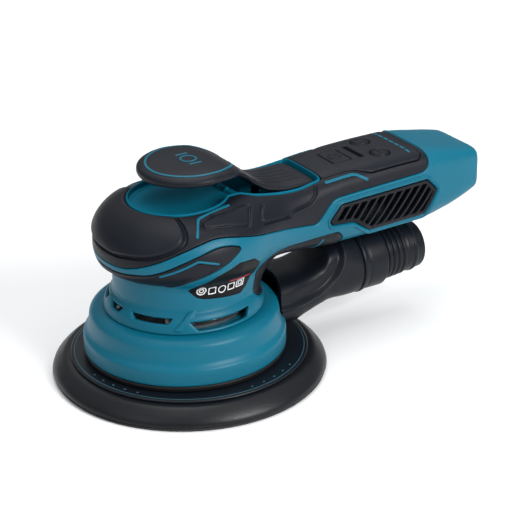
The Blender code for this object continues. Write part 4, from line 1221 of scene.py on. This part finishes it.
def build_floor():
    """A wide white floor."""
    bpy.ops.mesh.primitive_plane_add(size=16.0, location=(0, 0, 0))
    floor = bpy.context.object
    floor.name = "floor"
    made, tree, shader = new_material("studio_white")
    shader.inputs["Base Color"].default_value = (0.92, 0.92, 0.92, 1)
    shader.inputs["Roughness"].default_value = 0.9
    floor.data.materials.append(made)


def build_sky():
    """A soft surrounding light, dim near the horizon. The camera itself sees plain white."""
    world = bpy.data.worlds.new("studio")
    bpy.context.scene.world = world
    world.use_nodes = True
    tree = world.node_tree
    link = tree.links.new
    direction = add_node(tree, "ShaderNodeTexCoord").outputs["Generated"]
    height = add_node(tree, "ShaderNodeSeparateXYZ")
    link(direction, height.inputs["Vector"])
    strength = add_node(tree, "ShaderNodeMapRange")
    for name, value in (("From Min", 0.1), ("From Max", 0.85), ("To Min", SKY_LOW), ("To Max", SKY_HIGH)):
        strength.inputs[name].default_value = value
    link(height.outputs["Z"], strength.inputs["Value"])
    shown = add_node(tree, "ShaderNodeMix", data_type="FLOAT")
    link(add_node(tree, "ShaderNodeLightPath").outputs["Is Camera Ray"], shown.inputs["Factor"])
    link(strength.outputs["Result"], shown.inputs["A"])
    shown.inputs["B"].default_value = 1.0
    background = tree.nodes["Background"]
    link(shown.outputs["Result"], background.inputs["Strength"])
    background.inputs["Color"].default_value = (0.96, 0.98, 1, 1)
    bpy.context.scene.view_settings.view_transform = "Standard"


def build_lights():
    """Soft square lamps, all aimed at the middle of the tool."""
    for name, place, size, power in LIGHTS:
        lamp = bpy.data.lights.new(name, "AREA")
        lamp.shape = "SQUARE"
        lamp.size = size
        lamp.energy = power
        light = bpy.data.objects.new(name, lamp)
        bpy.context.scene.collection.objects.link(light)
        light.location = place
        aim = Vector((0.05, 0, 0.06)) - Vector(place)
        light.rotation_euler = aim.to_track_quat("-Z", "Y").to_euler()


def build_camera():
    """A long lens to the left of the front, looking a little down."""
    azimuth = math.radians(-31.89)
    elevation = math.radians(24.92)
    roll = math.radians(-0.80)
    eye = Vector((-449.9, -806.4, 488.8)) * MM
    back = Vector((math.sin(azimuth) * math.cos(elevation), -math.cos(azimuth) * math.cos(elevation),
                   math.sin(elevation)))
    side = Vector((0, 0, 1)).cross(back).normalized()
    up = back.cross(side)
    right = side * math.cos(roll) + up * math.sin(roll)
    rise = up * math.cos(roll) - side * math.sin(roll)
    data = bpy.data.cameras.new("camera")
    data.sensor_width = 36.0
    data.lens = 129.06
    data.clip_start = 0.05
    camera = bpy.data.objects.new("camera", data)
    camera.matrix_world = Matrix.Translation(eye) @ Matrix((right, rise, back)).transposed().to_4x4()
    bpy.context.scene.collection.objects.link(camera)
    bpy.context.scene.camera = camera


build_camera()
build_floor()
build_sky()
build_lights()
finish_cad_nodes()
build_pad()
build_shroud()
build_duct()
build_outlet()
build_housing()
build_band()
build_head_cover()
build_controls()
build_label()
build_grilles()
build_stripes()
build_tray()
build_paddle()
